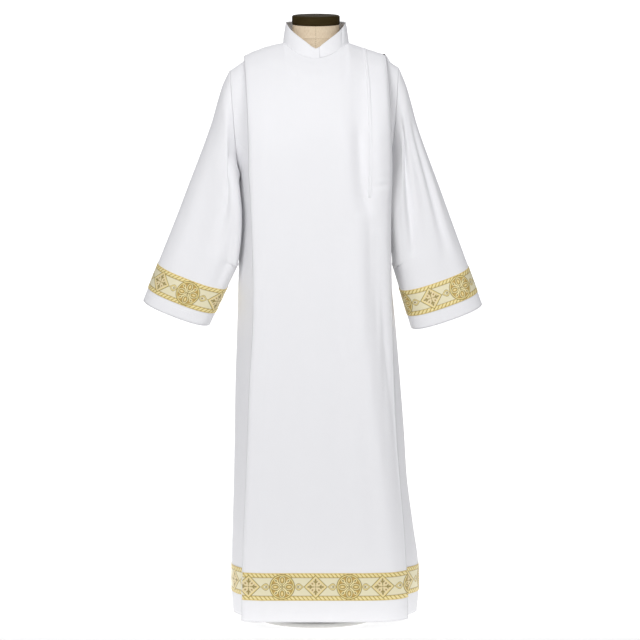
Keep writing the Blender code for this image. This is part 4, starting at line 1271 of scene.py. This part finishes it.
def add_band(name, node, block, place_along, closed=False):
    """A ribbon over a block of a panel's grid, woven by its place along the pattern."""
    grid, rows, columns = refine(block, BAND_SPACING, closed)
    along = np.interp(columns, range(len(place_along)), place_along)
    across = lengths(grid, 0)
    across = (across / across[-1] - 0.5) * BAND_WIDTH
    colour, height = galloon(along[None], across[:, None])
    out = normals_of(grid, closed)
    if closed and ((grid - grid.mean(axis=1, keepdims=True)) * out).sum() < 0:
        out = -out
    raised = grid + out * (CLOTH_OUT + BAND_OUT + BAND_RELIEF * height[..., None])
    if closed and (facing_out(grid)[0, 0] != grid[0, 0]).any():
        raised, colour = raised[::-1], colour[::-1]
    piece = add_grid(name, raised, gold_thread, closed, wall=BAND_WALL)
    thread = piece.data.color_attributes.new("thread", "FLOAT_COLOR", "POINT")
    solid = np.concatenate([colour, np.ones(colour.shape[:2] + (1,))], axis=2)
    thread.data.foreach_set("color", solid.ravel())
    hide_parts(node)
    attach(piece, "root")
    ribbon_edges.extend([raised[1], raised[-2]])


def band_rows(numbers, first, last):
    """Slice of the fine rows that lie between two coarse ones."""
    chosen = np.flatnonzero((numbers > first - 0.01) & (numbers < last + 0.01))
    return slice(chosen[0], chosen[-1] + 1)


# Where each ribbon starts along the pattern, so that the motifs meet the seams as they are sewn.
FRONT_STRETCH = REPEAT / 155.0
SIDE_START = -215
SEAM_START = 245
CuffBand = namedtuple("CuffBand", "side name start turn")
CUFF_BANDS = [CuffBand(-1, "right", -63, 1), CuffBand(1, "left", 152, -1)]
rows = band_rows(wrap_row, 1, 2)
front = np.flatnonzero(wrap_column > WRAP_FIRST - 0.01)
block = wrap[rows, front[0] :]
add_band("hem_ribbon_wrap", "hem_band_wrap", block, block[len(block) // 2, :, 0] * FRONT_STRETCH)
side = np.flatnonzero(wrap_column < SIDE_COLUMNS - 0.99)
block = wrap[rows, : side[-1] + 1]
add_band("hem_ribbon_side", "hem_band_side", block, lengths(block, 1) + SIDE_START)
shown = np.flatnonzero(under_column > 2.99)
block = under[band_rows(under_row, 1, 2), shown[0] :]
along = lengths(block, 1)
add_band("hem_ribbon_under", "hem_band_under", block, along - along[-1] + SEAM_START)
block = back[band_rows(back_row, 1, 2)]
add_band("hem_ribbon_back", "hem_band_back", block, lengths(block, 1) + SEAM_START)
for band in CUFF_BANDS:
    grid, row_at = sleeves[band.side]
    block = grid[band_rows(row_at, len(SLEEVE_ROWS) + 1, len(SLEEVE_ROWS) + 3)]
    place_along = band.start + band.turn * lengths(block, 1)
    add_band(f"cuff_ribbon_{band.name}", f"cuff_band_{band.name}", block, place_along, True)

# Snap. A stud pressed from nickel-plated sheet, set through the wrap's corner, which it holds at the
# left shoulder.
SNAP_RADIUS = 3.2
SNAP_HEIGHT = 2.0
SNAP_GAP = 0.3
# Its side, from the cloth to the top: shares of the radius and of the height.
SNAP_PROFILE = [
    (0.98, 0), (1, 0.12), (1, 0.45), (0.93, 0.62), (0.8, 0.7), (0.62, 0.78), (0.5, 0.97), (0.3, 1), (0.05, 1),
]
# Dark nickel plate: a smooth metal with a dark, fairly sharp reflection.
nickel = new_material("dark_nickel")
shader = add_node(
    nickel.node_tree, "ShaderNodeBsdfPrincipled", Base_Color=srgb("6B6660"), Metallic=1.0, Roughness=0.28
)
finish_material(nickel, shader)
corner = (wrap[-2, -2] + wrap[-3, -2]) / 2
out = normals_of(wrap)[-3, -2]
across = unit(np.cross(out, (0, 1, 0)))
turns = np.linspace(0, 2 * pi, 32, endpoint=False)[:, None]
ring = np.cos(turns) * across + np.sin(turns) * np.cross(out, across)
stud = np.array([
    corner + out * (CLOTH_OUT + SNAP_GAP + SNAP_HEIGHT * rise_by) + ring * SNAP_RADIUS * share
    for share, rise_by in SNAP_PROFILE
])
piece = add_grid("snap_stud", stud, nickel, closed=True, caps=True)
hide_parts("shoulder_snap")
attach(piece, "root")

# Stitching. Lockstitch, a stitch every 3 mm: white thread along the hems, the free edge, the collar
# and the tuck, gold thread along both edges of every ribbon.
def sewing_tree():
    """Turns a path of edges into a row of stitches lying along it."""
    tree = bpy.data.node_groups.new("stitching", "GeometryNodeTree")
    face = tree.interface
    face.new_socket("Path", in_out="INPUT", socket_type="NodeSocketGeometry")
    for name in ("Pitch", "Length", "Radius"):
        face.new_socket(name, in_out="INPUT", socket_type="NodeSocketFloat")
    face.new_socket("Thread", in_out="INPUT", socket_type="NodeSocketMaterial")
    face.new_socket("Stitches", in_out="OUTPUT", socket_type="NodeSocketGeometry")
    given = add_node(tree, "NodeGroupInput").outputs
    curve = add_node(tree, "GeometryNodeMeshToCurve", i0=given["Path"])
    dots = add_node(
        tree, "GeometryNodeResampleCurve", {"mode": "LENGTH"}, Curve=curve.outputs[0], Length=given["Pitch"]
    )
    one = add_node(tree, "GeometryNodeMeshUVSphere", Segments=6, Rings=4, Radius=0.5)
    size = add_node(tree, "ShaderNodeCombineXYZ", X=given["Radius"], Y=given["Radius"], Z=given["Length"])
    heading = add_node(tree, "GeometryNodeInputTangent")
    turned = add_node(tree, "FunctionNodeAlignRotationToVector", {"axis": "Z"}, Vector=heading.outputs[0])
    placed = add_node(
        tree, "GeometryNodeInstanceOnPoints", Points=dots.outputs[0], Instance=one.outputs[0],
        Rotation=turned.outputs[0], Scale=size.outputs[0],
    )
    real = add_node(tree, "GeometryNodeRealizeInstances", i0=placed.outputs[0])
    dressed = add_node(tree, "GeometryNodeSetMaterial", Geometry=real.outputs[0], Material=given["Thread"])
    result = add_node(tree, "NodeGroupOutput")
    tree.links.new(dressed.outputs[0], result.inputs[0])
    return tree


# Twisted polyester thread with a soft lustre, white or gold.
def thread_material(name, colour):
    made = new_material(name)
    place = add_node(made.node_tree, "ShaderNodeTexCoord").outputs["Object"]
    twist = add_node(
        made.node_tree, "ShaderNodeTexWave", {"bands_direction": "DIAGONAL"}, Vector=place, Scale=700.0
    )
    relief = add_node(
        made.node_tree, "ShaderNodeBump", Height=twist.outputs["Fac"], Strength=0.3, Distance=0.0001
    )
    shader = add_node(
        made.node_tree, "ShaderNodeBsdfPrincipled", Base_Color=srgb(colour), Roughness=0.5,
        Normal=relief.outputs["Normal"],
    )
    return finish_material(made, shader)


STITCH = {"Pitch": 3.0 * MM, "Length": 2.3 * MM, "Radius": 0.75 * MM}
STITCH_LIFT = 0.1
COLLAR_STITCH_SUNK = 0.25
HEM_ROW = 4
TUCK_SEWN = 4
stitching = sewing_tree()


def sew(name, paths, thread):
    points = []
    edges = []
    for path in paths:
        edges += [(len(points) + index, len(points) + index + 1) for index in range(len(path) - 1)]
        points += [tuple(point) for point in np.asarray(path) * MM]
    mesh = bpy.data.meshes.new(name + "_path")
    mesh.from_pydata(points, edges, [])
    guide = bpy.data.objects.new(name + "_path", mesh)
    bpy.context.scene.collection.objects.link(guide)
    sewing = guide.modifiers.new("stitching", "NODES")
    sewing.node_group = stitching
    for socket in stitching.interface.items_tree:
        if socket.name in STITCH:
            sewing[socket.identifier] = STITCH[socket.name]
        if socket.name == "Thread":
            sewing[socket.identifier] = thread
    evaluated = guide.evaluated_get(bpy.context.evaluated_depsgraph_get())
    made = bpy.data.meshes.new_from_object(evaluated)
    bpy.data.objects.remove(guide)
    piece = bpy.data.objects.new(name, made)
    bpy.context.scene.collection.objects.link(piece)
    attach(piece, "root")


def lifted(grid, closed=False, out=CLOTH_OUT + STITCH_LIFT):
    return grid + normals_of(grid, closed) * out


front = np.flatnonzero(wrap_column > WRAP_FIRST - 0.01)[0]
on_wrap, on_back, on_under = lifted(wrap), lifted(back), lifted(under)
seams = [on_wrap[HEM_ROW, front:], on_wrap[HEM_ROW:-1, -2], on_back[HEM_ROW], on_under[HEM_ROW]]
on_collar = lifted(collar, out=COLLAR_OUT - COLLAR_STITCH_SUNK)
seams += [on_collar[np.argmin(np.abs(collar_row - place_on))] for place_on in COLLAR_SEWN]
on_tuck = lifted(tuck, out=STITCH_LIFT)
seams.append(on_tuck[:, np.argmin(np.abs(tuck_column - TUCK_SEWN))])
for side in (-1, 1):
    cuff = facing_out(sleeves[side][0])
    on_cuff = lifted(cuff, True)
    row = HEM_ROW if cuff[0, 0, 2] < cuff[-1, 0, 2] else -1 - HEM_ROW
    seams.append(np.concatenate([on_cuff[row], on_cuff[row, :1]]))
sew("white_stitches", seams, thread_material("white_thread", "F4F4F6"))
sew("gold_stitches", ribbon_edges, thread_material("gold_sewing_thread", "D2B05A"))

bpy.context.view_layer.update()
